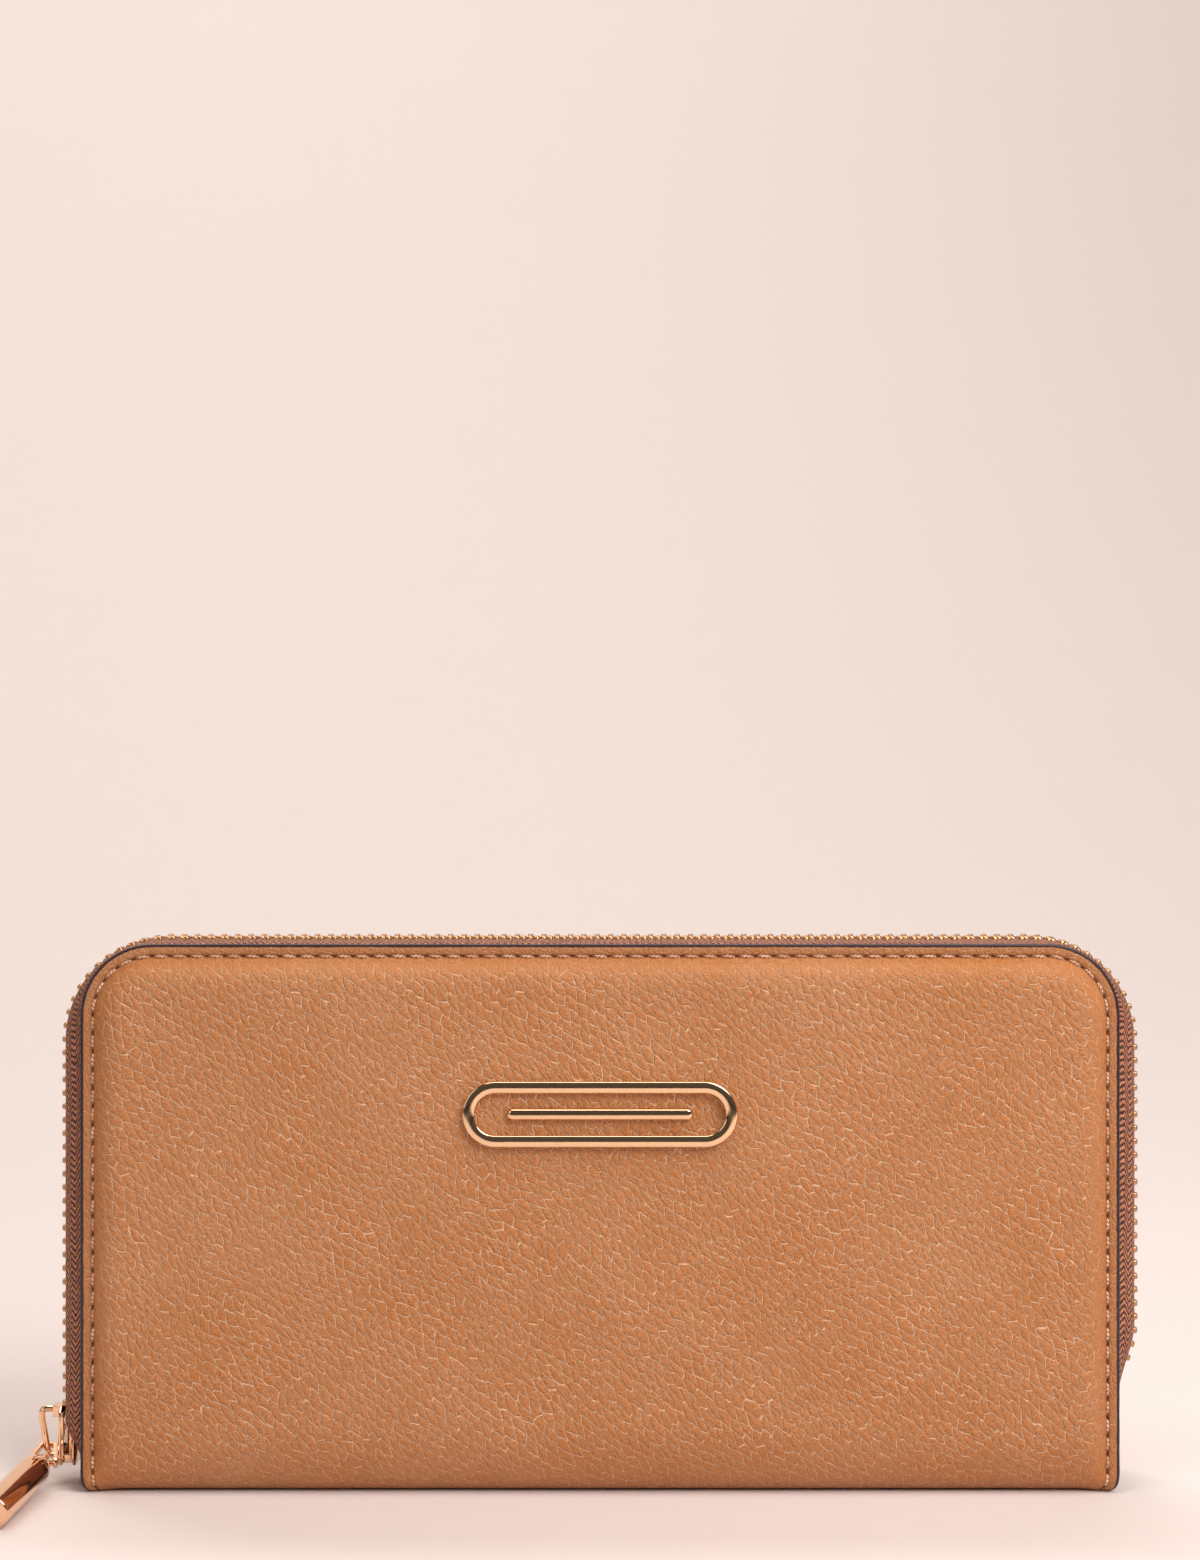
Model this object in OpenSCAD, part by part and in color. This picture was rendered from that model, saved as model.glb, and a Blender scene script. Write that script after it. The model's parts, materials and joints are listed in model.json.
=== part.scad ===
// Zip around wallet, closed and standing on its spine.
// +X runs along the spine, the front cover faces -Y and +Z is up. The origin is the
// centre of the spine's underside. A distance u is measured outward from the wallet's
// middle plane (y = 0), so the front cover lies at y = -u and the back cover at y = u.

/* [Covers] */
// Length of the wallet along its spine
cover_w = 190; // [188:0.5:194]
// Height of the closed covers
cover_h = 100.5; // [100:0.5:104]
// Radius of the covers' top corners
corner_r = 13; // [12:0.5:14]
// Depth of the closed wallet over the two flat borders
wallet_d = 18.4; // [18.4:0.1:19]
// Height of the padded panel above the border
pad_rise = 2.8; // [2:0.1:3.5]
// Thickness of the outer leather
leather_t = 1.1; // [0.9:0.1:1.2]
// Outer radius of the folds between the spine and the covers
fold_r = 3; // [2.6:0.1:3.2]

/* [Zip] */
// Distance from one tooth to the next along the chain
tooth_pitch = 2.5; // [2.5:0.1:3]
// Length of a tooth along the chain
tooth_t = 1.1; // [0.8:0.05:1.1]
// How far the chain stands out past the covers' sides
chain_out = 3.9; // [3.5:0.1:4.3]
// Radius of the chain's top corners
chain_r = 18.5; // [18:0.1:20]

/* [Slider and pull] */
// Height of the slider's nose above the surface
slider_z = 3.4; // [3.4:0.1:5]
// Length of the slider
slider_l = 11; // [11:0.1:12]
// Length of the pull's barrel from its pin
barrel_l = 26.6; // [22:0.2:32]
// Radius of the pull's barrel
barrel_r = 2.95; // [2.8:0.05:3.1]
// Angle of the pull's link from the wallet's side towards the front
link_yaw = 90; // [84:1:90]
// Angle of the pull's barrel from the wallet's side towards the front
barrel_yaw = 84; // [82:1:90]

/* [Inside] */
// Length of the card strips
strip_w = 176; // [150:1:176]
// Height of the coin pocket's walls
coin_wall_h = 73; // [72.5:0.5:73.5]
// Length of the coin pocket
coin_w = 178; // [178:1:180]
// Length of the coin slider's tab
coin_tab_l = 16; // [10:1:18]

/* [Emblem] */
// Length of the emblem's ring
emblem_w = 50; // [40:1:70]
// Height of the emblem's ring
emblem_h = 12; // [11:0.5:16]
// Width of the emblem's bands
emblem_band = 2.2; // [2:0.1:2.4]
// Height of the emblem's centre
emblem_z = 70; // [60:1:74]

/* [Hidden] */
$fn = 48;

// Layers of a cover, outward along u
board_t = 0.6;
lining_t = 0.7;
tape_t = 0.5;
half_w = cover_w / 2;
face_u = wallet_d / 2;
leather_u = face_u - leather_t;
board_u = leather_u - board_t;
lining_u = board_u - lining_t;
fold_u = face_u - fold_r;

// Insets of a cover's layers from its edge
paint_w = 0.6;
stitch_inset = 1.9;
stitch_w = 0.4;
stitch_rise = 0.25;
board_inset = 6.2;
lining_inset = 1.2;
stitch_foot = 4.5;
board_foot = 4;
lining_foot = 3.4;

// Sections of the padded panel as [rise over the border, inset, foot]
slice_t = 0.01;
pillow_sections = [[0, 3, 3.2], [pad_rise / 2, 3.8, 4.5], [0.86 * pad_rise, 5.5, 7.5], [pad_rise, 9, 12]];
panel_u = face_u + pad_rise + slice_t;
least_corner_r = 1;

// Spine
spine_half_d = 5.6;
spine_board_top = leather_t + board_t;
spine_top = spine_board_top + 0.6;

// Chain of the zip, a rounded rectangle open at the bottom
chain_half = half_w + chain_out;
chain_top = cover_h + 0.4;
side_run = chain_top - chain_r;
bend_run = PI * chain_r / 2;
top_run = 2 * (chain_half - chain_r);
chain_l = 2 * side_run + 2 * bend_run + top_run;

// The tape's right end turns in towards the covers
left_foot = lining_foot;
right_foot = 13;
tuck = chain_out + 0.3;
tuck_top = 30;

// Cross-section of the tape: flange between leather and lining, bend at the edge, chain edge
flange_inset = 5.5;
bend_inset = 0.2;
bend_u = 6.5;
chain_bend_u = 4.4;
chain_edge_u = 1.9;
corner_steps = 12;
tuck_steps = 10;

// Teeth: the first one stands clear of the slider's tail
tooth_half = 0.85;
tooth_root_u = 3;
tooth_reach = 0.7;
slot_half = 0.34;
slot_end_u = 1.8;
tooth_chamfer = 0.3;
first_tooth = slider_z + slider_l + 0.7;
last_tooth = chain_l - 19.3;
run_end = side_run - tooth_pitch / 2;
stop_l = 1.4;
stop_reach = -1.2;
stop_s = chain_l - 17;

// Slider, in its own frame: +X outward from the chain, +Z along the chain from the nose
channel_half = 0.95;
plate_t = 0.55;
plate_out = channel_half + plate_t;
nose_half = 4;
tail_half = 3.75;
flange_in = 3.15;
flange_gap = 0.5;
lug_half = 1.1;
tail_lug = [[plate_out, slider_l - 2.4], [3.1, slider_l - 0.2]];
nose_lug = [[plate_out, 0.4], [2.6, 1.4]];
bridge_half = 0.55;
bridge_out = 6.1;
bridge_axis_x = 4.3;
bridge_axis_z = 2.5;
window_foot = 1.55;
window_top = slider_l - 2.5;
pin_r = 0.4;
pin_z = 6.6;
spring_t = 0.2;

// Link of the pull, in its own frame: +X along it, +Y across it
link_pitch = 15;
link_pivot = [-chain_half - bridge_axis_x, 0, slider_z + bridge_axis_z];
link_t = 1;
link_back = -1.6;
link_bar_w = 0.65;
link_back_half = 1.65;
link_front_half = 2.95;
link_arm_w = 0.65;
link_pin_x = 5;
link_pin_r = 0.6;

// Barrel of the pull, in its own frame with +X along it from the link's pin; its end rests
// on the surface that the wallet stands on
barrel_pin = link_pivot + link_pin_x
    * [-cos(link_yaw) * cos(link_pitch), -sin(link_yaw) * cos(link_pitch), -sin(link_pitch)];
tip_clearance = 0.02;
barrel_pitch = asin((barrel_pin[2] - tip_clearance) / sqrt(barrel_l * barrel_l + barrel_r * barrel_r))
    - atan(barrel_r / barrel_l);
tang_half = 1;
tang_t = 2.8;
tang_back = 1.2;
tang_end = 2;
tang_hole_r = 1;
cap_recess_r = 2.4;
cap_recess = 0.5;

// Card strips, from the lining inward: heights of their top edges
strip_tops = [86, 75, 64, 53];
strip_t = 0.4;
strip_foot = 20;

// Gussets: folded strips between the coin pocket and the covers' linings
gusset_t = 0.4;
gusset_in = 79.2;
gusset_out = 89.8;
gusset_edge = 90.8;
gusset_first_u = 2.9;
gusset_gap = 0.8;
gusset_foot = 4;
gusset_h = 68;

// Coin pocket and its zip, which lies level above the walls
coin_wall_u = 1.9;
coin_wall_t = 0.8;
binding_w = 2;
coin_chain_z = coin_wall_h + 3;
coin_tape_half = 78.5;
coin_tape_edge = 1.1;
coin_tape_drop = 10;
coin_slider_x = -72;
coin_slider_l = 10;
coin_tooth_half = 0.85;
coin_tooth_root = 1.9;
coin_tooth_reach = 0.5;
coin_slot_end = 1;
coin_first_tooth = coin_slider_x + coin_slider_l / 2 + 0.8;
coin_last_tooth = 75;
coin_plate_half = 3.2;
coin_lower_half = 2.5;
coin_plate_t = 0.8;
coin_channel_half = 1.1;
coin_arch_half_l = 3.4;
coin_arch_h = 2.6;
coin_arch_half_w = 0.7;
coin_arch_t = 0.8;
coin_tab_axis_z = 3;
coin_tab_t = 1;
coin_tab_half = 1.8;
coin_arm_w = 0.7;

// Emblem
emblem_t = 1.4;
bar_w = 34;
prong_r = 0.5;
prong_hole_r = 0.6;
washer_r = 2;
washer_t = 0.3;
washer_seat_r = 2.1;
ring_prong_x = (emblem_w - emblem_band) / 2;
bar_prong_x = 13;

// Colours
leather_c = [0.78, 0.51, 0.31];
paint_c = [0.24, 0.15, 0.13];
thread_c = [0.62, 0.38, 0.22];
tape_c = [0.47, 0.25, 0.14];
gold_c = [0.88, 0.71, 0.52];
lining_c = [0.55, 0.36, 0.24];
board_c = [0.66, 0.62, 0.55];
foam_c = [0.85, 0.83, 0.76];

// ---- Helpers ----

// The cover's outline in X and Z, open to its square foot
module outline(inset, foot) {
    half = half_w - inset;
    top = cover_h - inset;
    r = max(corner_r - inset, least_corner_r);
    translate([-half, foot]) square([2 * half, top - r - foot]);
    translate([-half + r, foot]) square([2 * (half - r), top - foot]);
    for (side = [-1, 1]) translate([side * (half - r), top - r]) circle(r);
}

// A flat layer of the front cover from u to u + t
module layer(u, t) {
    rotate([90, 0, 0]) translate([0, 0, u]) linear_extrude(t) children();
}

// A profile drawn in Y and Z, extruded along X between -half and half
module prism_x(half) {
    rotate([90, 0, 90]) translate([0, 0, -half]) linear_extrude(2 * half) children();
}

module behind() {
    mirror([0, 1, 0]) children();
}

// A strip of thickness t that follows square turns
module ribbon(points, t) {
    for (i = [0 : len(points) - 2]) {
        a = points[i];
        b = points[i + 1];
        low = [min(a[0], b[0]), min(a[1], b[1])];
        high = [max(a[0], b[0]), max(a[1], b[1])];
        translate(low - [t, t] / 2) square(high - low + [t, t]);
    }
}

module span_rect(low, high) {
    translate(low) square(high - low);
}

// ---- Covers ----

// The padded panel's outer surface, moved inward by depth
module pillow(depth) {
    hull() for (p = pillow_sections)
        layer(face_u + p[0] - depth, slice_t) outline(p[1] + depth, p[2] + depth);
}

module prongs(r, u, t) {
    for (side = [-1, 1], x = [ring_prong_x, bar_prong_x])
        layer(u, t) translate([side * x, emblem_z]) circle(r);
}

module cover_leather() {
    color(leather_c) difference() {
        union() {
            layer(leather_u, leather_t) outline(paint_w, fold_r);
            pillow(0);
        }
        pillow(leather_t);
    }
}

module cover_padding() {
    color(foam_c) pillow(leather_t);
}

module cover_board() {
    color(board_c) layer(board_u, board_t) outline(board_inset, board_foot);
}

module cover_lining() {
    color(lining_c) layer(lining_u, lining_t) outline(lining_inset, lining_foot);
}

module cover_stitching() {
    color(thread_c) layer(face_u, stitch_rise) difference() {
        outline(stitch_inset, stitch_foot);
        outline(stitch_inset + stitch_w, stitch_foot - 1);
    }
}

module cover_edge_paint() {
    color(paint_c) layer(leather_u, leather_t) difference() {
        outline(0, fold_r);
        outline(paint_w, fold_r - 1);
    }
}

module card_strip(i) {
    color(leather_c) layer(lining_u - (i + 1) * strip_t, strip_t)
        translate([-strip_w / 2, strip_foot]) square([strip_w, strip_tops[i] - strip_foot]);
}

module front_leather() {
    difference() {
        cover_leather();
        prongs(prong_hole_r, leather_u, panel_u);
    }
}

module front_padding() {
    difference() {
        cover_padding();
        prongs(prong_hole_r, leather_u - 1, panel_u);
        prongs(washer_seat_r, leather_u - 1, 1 + washer_t);
    }
}

module front_board() { cover_board(); }
module front_lining() { cover_lining(); }
module front_stitching() { cover_stitching(); }
module front_edge_paint() { cover_edge_paint(); }
module front_card_strip_1() { card_strip(0); }
module front_card_strip_2() { card_strip(1); }
module front_card_strip_3() { card_strip(2); }
module front_card_strip_4() { card_strip(3); }
module back_leather() { behind() cover_leather(); }
module back_padding() { behind() cover_padding(); }
module back_board() { behind() cover_board(); }
module back_lining() { behind() cover_lining(); }
module back_stitching() { behind() cover_stitching(); }
module back_edge_paint() { behind() cover_edge_paint(); }
module back_card_strip_1() { behind() card_strip(0); }
module back_card_strip_2() { behind() card_strip(1); }
module back_card_strip_3() { behind() card_strip(2); }
module back_card_strip_4() { behind() card_strip(3); }

// ---- Emblem ----

module stadium(w, h) {
    square([w - h, h], center = true);
    for (side = [-1, 1]) translate([side * (w - h) / 2, 0]) circle(h / 2);
}

module emblem_prongs(x) {
    for (side = [-1, 1])
        layer(leather_u, panel_u - leather_u) translate([side * x, emblem_z]) circle(prong_r);
}

module emblem_ring() {
    color(gold_c) {
        layer(panel_u, emblem_t) translate([0, emblem_z]) difference() {
            stadium(emblem_w, emblem_h);
            stadium(emblem_w - 2 * emblem_band, emblem_h - 2 * emblem_band);
        }
        emblem_prongs(ring_prong_x);
    }
}

module emblem_bar() {
    color(gold_c) {
        layer(panel_u, emblem_t) translate([0, emblem_z]) stadium(bar_w, emblem_band);
        emblem_prongs(bar_prong_x);
    }
}

module emblem_washers() {
    color(gold_c) difference() {
        prongs(washer_r, leather_u, washer_t);
        prongs(prong_hole_r, leather_u - 1, washer_t + 2);
    }
}

// ---- Spine ----

module spine_leather() {
    color(leather_c) translate([-half_w, -fold_u, 0]) cube([cover_w, 2 * fold_u, leather_t]);
}

module spine_board() {
    half = half_w - board_inset;
    color(board_c) translate([-half, -spine_half_d, leather_t])
        cube([2 * half, 2 * spine_half_d, board_t]);
}

module spine_lining() {
    half = half_w - lining_inset;
    color(lining_c) translate([-half, -spine_half_d, spine_board_top])
        cube([2 * half, 2 * spine_half_d, spine_top - spine_board_top]);
}

module front_fold_leather() {
    color(leather_c) prism_x(half_w) translate([-fold_u, fold_r]) intersection() {
        difference() {
            circle(fold_r);
            circle(fold_r - leather_t);
        }
        translate([-fold_r, -fold_r]) square(fold_r);
    }
}

module back_fold_leather() { behind() front_fold_leather(); }

// ---- Zip round the covers ----

function ease(t) = let (c = min(max(t, 0), 1)) c * c * (3 - 2 * c);

// A point's inward turn near the zip's right end
function tucked(p) = p[0] < 0 ? p : [p[0] - tuck * ease((tuck_top - p[1]) / (tuck_top - right_foot)), p[1]];

// Centreline of the chain as [x, z], a distance s along it from the left side's foot
function chain_line(s) =
    s > chain_l / 2 ? let (p = chain_line(chain_l - s)) [-p[0], p[1]]
    : s < side_run ? [-chain_half, s]
    : s < side_run + bend_run ? let (a = (s - side_run) / chain_r * 180 / PI)
        [-chain_half + chain_r * (1 - cos(a)), side_run + chain_r * sin(a)]
    : [s - chain_l / 2, chain_top];

function chain_at(s) = tucked(chain_line(s));

// Turn of the chain's direction from +Z towards +X
function chain_turn(s) = let (step = chain_at(s + 0.1) - chain_at(s - 0.1)) atan2(step[0], step[1]);

// A point on a rounded rectangle open at its foot: k is 0 to 1 up the left side, 1 to 2
// round the left corner, 2 to 3 along the top, 3 to 4 round the right corner and 4 to 5
// down the right side
function frame_at(k, half, top, r, foot) =
    k > 2.5 ? let (p = frame_at(5 - k, half, top, r, foot)) [-p[0], p[1]]
    : k <= 1 ? [-half, foot + k * (top - r - foot)]
    : k <= 2 ? let (a = 90 * (k - 1)) [-half + r - r * cos(a), top - r + r * sin(a)]
    : [(half - r) * (2 * k - 5), top];

function tape_foot(k) = k > 2.5 ? right_foot : left_foot;

function edge_point(k, inset, u) =
    let (p = frame_at(k, half_w - inset, cover_h - inset, corner_r - inset, tape_foot(k)))
    [p[0], -u, p[1]];

function chain_point(k, out, u) =
    let (p = tucked(frame_at(k, chain_half + out, chain_top + out, chain_r + out, tape_foot(k))))
    [p[0], -u, p[1]];

// One cross-section of the tape: its outer face from flange to chain, then its inner face back
function tape_ring(k) = [
    edge_point(k, flange_inset, board_u + tape_t),
    edge_point(k, bend_inset, board_u + tape_t),
    edge_point(k, bend_inset, bend_u + 0.1),
    chain_point(k, tape_t / 2, chain_bend_u),
    chain_point(k, tape_t / 2, chain_edge_u),
    chain_point(k, -tape_t / 2, chain_edge_u),
    chain_point(k, -tape_t / 2, chain_bend_u),
    edge_point(k, bend_inset + tape_t, bend_u - 0.1),
    edge_point(k, bend_inset + tape_t, board_u),
    edge_point(k, flange_inset, board_u)
];

// Where the cross-sections stand: close together round the corners and at the tucked end
tuck_k = (tuck_top - right_foot) / (side_run - right_foot);
tape_ks = concat(
    [0],
    [for (i = [0 : corner_steps]) 1 + i / corner_steps],
    [for (i = [0 : corner_steps]) 3 + i / corner_steps],
    [for (i = [0 : tuck_steps]) 5 - tuck_k * (1 - i / tuck_steps)]
);

module zip_tape() {
    rings = [for (k = tape_ks) tape_ring(k)];
    n = len(rings[0]);
    last = (len(rings) - 1) * n;
    color(tape_c) polyhedron(
        points = [for (ring = rings) each ring],
        faces = concat(
            [for (i = [0 : len(rings) - 2], j = [0 : n - 1]) each let (
                a = i * n + j, b = i * n + (j + 1) % n)
                [[a, a + n, b], [b, a + n, b + n]]],
            [for (j = [0 : n / 2 - 2]) each
                [[j, j + 1, n - 2 - j], [j, n - 2 - j, n - 1 - j]]],
            [for (j = [0 : n / 2 - 2]) each
                [[last + j, last + n - 2 - j, last + j + 1], [last + j, last + n - 1 - j, last + n - 2 - j]]]
        )
    );
}

// A tooth or a stop clamped on the tape's edge: half wide across the tape, from the root
// at -root to its reach, with a slot that holds the tape down to -slot_end
module clamp(length, half, root, reach, slot_end, chamfer) {
    translate([0, 0, -length / 2]) linear_extrude(length) polygon([
        [half, -root], [half, reach - chamfer], [half - chamfer, reach],
        [chamfer - half, reach], [-half, reach - chamfer], [-half, -root],
        [-slot_half, -root], [-slot_half, -slot_end], [slot_half, -slot_end], [slot_half, -root]
    ]);
}

module on_chain(s) {
    p = chain_at(s);
    translate([p[0], 0, p[1]]) rotate([0, 180 + chain_turn(s), 0]) children();
}

// The teeth of the front tape whose places along the chain lie between from and to
module teeth(from, to, shift) {
    count = floor((last_tooth - first_tooth) / tooth_pitch);
    color(gold_c) for (i = [0 : count - 1]) {
        s = first_tooth + shift + i * tooth_pitch;
        if (s >= from && s < to) on_chain(s)
            clamp(tooth_t, tooth_half, tooth_root_u, tooth_reach, slot_end_u, tooth_chamfer);
    }
}

module stop() {
    color(gold_c) on_chain(stop_s)
        clamp(stop_l, tooth_half, tooth_root_u, stop_reach, slot_end_u, tooth_chamfer);
}

module front_zip_tape() { zip_tape(); }
module back_zip_tape() { behind() zip_tape(); }
module front_zip_teeth() { teeth(run_end, chain_l, 0); }
module back_zip_teeth() { behind() teeth(run_end, chain_l, tooth_pitch / 2); }
module front_zip_teeth_left() { teeth(0, run_end, 0); }
module back_zip_teeth_left() { behind() teeth(0, run_end, tooth_pitch / 2); }
module front_zip_stop() { stop(); }
module back_zip_stop() { behind() stop(); }

// ---- Slider ----

module on_slider() {
    translate([-chain_half, 0, slider_z]) rotate([0, 0, 180]) children();
}

// A profile in the slider's Y and Z, extruded outward from x
module slider_plate(x, t) {
    translate([x, 0, 0]) rotate([90, 0, 90]) linear_extrude(t) children();
}

// A profile in the slider's X and Z, extruded to both sides of its middle
module slider_rib(half) {
    rotate([90, 0, 0]) translate([0, 0, -half]) linear_extrude(2 * half) children();
}

module slider_outline() {
    polygon([
        [-2.6, 0], [2.6, 0], [nose_half, 1.6], [nose_half, 3.2], [tail_half, slider_l - 1],
        [tail_half - 1, slider_l], [1 - tail_half, slider_l], [-tail_half, slider_l - 1],
        [-nose_half, 3.2], [-nose_half, 1.6]
    ]);
}

module slider_body() {
    flange_foot = 2;
    on_slider() color(gold_c) difference() {
        union() {
            for (x = [channel_half, -channel_half - plate_t]) slider_plate(x, plate_t) slider_outline();
            for (x = [flange_gap, -channel_half], side = [-1, 1])
                slider_plate(x, channel_half - flange_gap)
                    translate([side * (flange_in + tail_half) / 2, (flange_foot + slider_l - 1) / 2])
                    square([tail_half - flange_in, slider_l - 1 - flange_foot], center = true);
            slider_plate(-channel_half, 2 * channel_half)
                polygon([[-0.9, 0], [0.9, 0], [0.9, 2.2], [0, 3.6], [-0.9, 2.2]]);
            slider_rib(lug_half) span_rect(tail_lug[0], tail_lug[1]);
            slider_rib(lug_half) span_rect(nose_lug[0], nose_lug[1]);
        }
        translate([0, 0, pin_z]) rotate([0, 90, 0]) cylinder(h = plate_out + 1, r = pin_r + 0.05);
    }
}

module slider_bridge() {
    knee_r = 1.8;
    foot_r = 1.2;
    corner = 0.6;
    foot_x = bridge_axis_x - 0.55;
    knee_x = bridge_out - knee_r - 0.1;
    on_slider() color(gold_c) slider_rib(bridge_half) difference() {
        hull() {
            translate([bridge_out - knee_r, slider_l - 2.1]) circle(knee_r, $fn = 32);
            translate([bridge_axis_x + 0.55 - foot_r, foot_r + 0.7]) circle(foot_r, $fn = 32);
            span_rect([plate_out, tail_lug[0][1]], tail_lug[1]);
            span_rect([plate_out, nose_lug[0][1]], nose_lug[1]);
        }
        polygon([
            [0, window_foot], [foot_x - corner, window_foot], [foot_x, window_foot + corner],
            [knee_x, window_top - corner], [knee_x - corner, window_top], [0, window_top]
        ]);
        span_rect([0, tail_lug[0][1] - 1], tail_lug[1] + [0, 1]);
        span_rect([0, nose_lug[0][1] - 1], nose_lug[1]);
    }
}

module slider_lock_spring() {
    spring_foot = 5.9;
    on_slider() color(gold_c) {
        slider_plate(plate_out, spring_t)
            span_rect([-bridge_half, spring_foot], [bridge_half, tail_lug[0][1]]);
        translate([1, 0, pin_z]) rotate([0, 90, 0]) cylinder(h = plate_out - 1, r = pin_r);
    }
}

// ---- Pull ----

module on_link() {
    translate(link_pivot) rotate([0, link_pitch, 180 + link_yaw]) children();
}

module on_barrel() {
    translate(barrel_pin) rotate([0, barrel_pitch, 180 + barrel_yaw]) children();
}

module cross_pin(x, r, half) {
    translate([x, 0, 0]) rotate([90, 0, 0]) cylinder(h = 2 * half, r = r, center = true);
}

module pull_link() {
    arm_end_r = 1;
    on_link() color(gold_c) {
        translate([0, 0, -link_t / 2]) linear_extrude(link_t) difference() {
            polygon([
                [link_back, -link_back_half], [link_pin_x, -link_front_half],
                [link_pin_x, link_front_half], [link_back, link_back_half]
            ]);
            polygon([
                [link_back + link_bar_w, link_arm_w - link_back_half],
                [link_pin_x + 0.01, link_arm_w - link_front_half],
                [link_pin_x + 0.01, link_front_half - link_arm_w],
                [link_back + link_bar_w, link_back_half - link_arm_w]
            ]);
        }
        cross_pin(link_pin_x, link_pin_r, link_front_half);
        for (side = [-1, 1]) translate([0, side * (link_front_half - link_arm_w / 2), 0])
            cross_pin(link_pin_x, arm_end_r, link_arm_w / 2);
    }
}

module pull_barrel() {
    neck = 1.3;
    on_barrel() color(gold_c) difference() {
        union() {
            translate([-tang_back, -tang_half, -tang_t / 2])
                cube([tang_end + tang_back, 2 * tang_half, tang_t]);
            rotate([0, 90, 0]) rotate_extrude() polygon([
                [0, neck], [neck, neck], [barrel_r - 0.65, neck + 0.7], [barrel_r - 0.15, neck + 1.7],
                [barrel_r, neck + 2.7], [barrel_r, barrel_l - 0.3], [barrel_r - 0.3, barrel_l],
                [cap_recess_r, barrel_l], [cap_recess_r, barrel_l - cap_recess],
                [0, barrel_l - cap_recess]
            ]);
        }
        cross_pin(0, tang_hole_r, tang_half + 1);
    }
}

module pull_end_cap() {
    on_barrel() color(gold_c) translate([barrel_l - cap_recess, 0, 0]) rotate([0, 90, 0])
        cylinder(h = cap_recess - 0.1, r = cap_recess_r - 0.05);
}

// ---- Coin pocket ----

module coin_pocket_front_wall() {
    color(lining_c) translate([-coin_w / 2, -coin_wall_u - coin_wall_t, spine_top])
        cube([coin_w, coin_wall_t, coin_wall_h - spine_top]);
}

module coin_pocket_back_wall() { behind() coin_pocket_front_wall(); }

module coin_pocket_binding() {
    x = (coin_w - binding_w) / 2;
    z = spine_top + binding_w / 2;
    top = coin_wall_h - binding_w / 2;
    color(leather_c) layer(-coin_wall_u, 2 * coin_wall_u)
        ribbon([[-x, top], [-x, z], [x, z], [x, top]], binding_w);
}

module coin_tape() {
    u = coin_wall_u + coin_wall_t + tape_t / 2;
    color(tape_c) prism_x(coin_tape_half) ribbon([
        [-coin_tape_edge - tape_t / 2, coin_chain_z], [-u, coin_chain_z],
        [-u, coin_chain_z - coin_tape_drop]
    ], tape_t);
}

module coin_clamp(length, reach) {
    rotate([0, -90, 0])
        clamp(length, coin_tooth_half, coin_tooth_root, reach, coin_slot_end, 0.25);
}

module coin_teeth(shift) {
    color(gold_c) for (x = [coin_first_tooth + shift : tooth_pitch : coin_last_tooth])
        translate([x, 0, coin_chain_z]) coin_clamp(tooth_t, coin_tooth_reach);
}

module coin_zip_front_tape() { coin_tape(); }
module coin_zip_back_tape() { behind() coin_tape(); }
module coin_zip_front_teeth() { coin_teeth(0); }
module coin_zip_back_teeth() { behind() coin_teeth(tooth_pitch / 2); }

// A clamp on each tape at both ends of the coin zip
module coin_zip_stops() {
    stop_x = coin_tape_half - 0.7;
    color(gold_c) for (side = [-1, 1], face = [0, 1]) mirror([0, face, 0])
        translate([side * stop_x, 0, coin_chain_z]) coin_clamp(1.2, -0.6);
}

module coin_slider_body() {
    flange_w = 0.5;
    flange_h = 0.6;
    wedge = coin_tape_edge - 0.6;
    translate([coin_slider_x, 0, coin_chain_z]) color(gold_c) {
        translate([-coin_slider_l / 2, -coin_plate_half, coin_channel_half])
            cube([coin_slider_l, 2 * coin_plate_half, coin_plate_t]);
        translate([-coin_slider_l / 2, -coin_lower_half, -coin_channel_half - coin_plate_t])
            cube([coin_slider_l, 2 * coin_lower_half, coin_plate_t]);
        for (side = [-1, 1]) {
            translate([0, side * (coin_plate_half - flange_w / 2), coin_channel_half - flange_h / 2])
                cube([coin_slider_l, flange_w, flange_h], center = true);
            translate([0, side * (coin_lower_half - flange_w / 2), flange_h / 2 - coin_channel_half])
                cube([coin_slider_l, flange_w, flange_h], center = true);
        }
        translate([-coin_slider_l / 2, -wedge, -coin_channel_half])
            cube([3, 2 * wedge, 2 * coin_channel_half]);
        translate([0, 0, coin_channel_half + coin_plate_t]) slider_rib(coin_arch_half_w) difference() {
            span_rect([-coin_arch_half_l, 0], [coin_arch_half_l, coin_arch_h]);
            span_rect([coin_arch_t - coin_arch_half_l, 0],
                [coin_arch_half_l - coin_arch_t, coin_arch_h - coin_arch_t]);
        }
    }
}

module coin_pull_tab() {
    body_x = 4.1;
    end_r = coin_tab_half;
    arm_in = coin_tab_half - coin_arm_w;
    translate([coin_slider_x, 0, coin_chain_z + coin_tab_axis_z]) color(gold_c) {
        cross_pin(0, coin_tab_t / 2, coin_tab_half);
        translate([0, 0, -coin_tab_t / 2]) linear_extrude(coin_tab_t) difference() {
            union() {
                span_rect([0, -coin_tab_half], [coin_tab_l - end_r, coin_tab_half]);
                translate([coin_tab_l - end_r, 0]) circle(end_r);
            }
            span_rect([-1, -arm_in], [body_x, arm_in]);
        }
    }
}

// ---- Gussets ----

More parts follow.
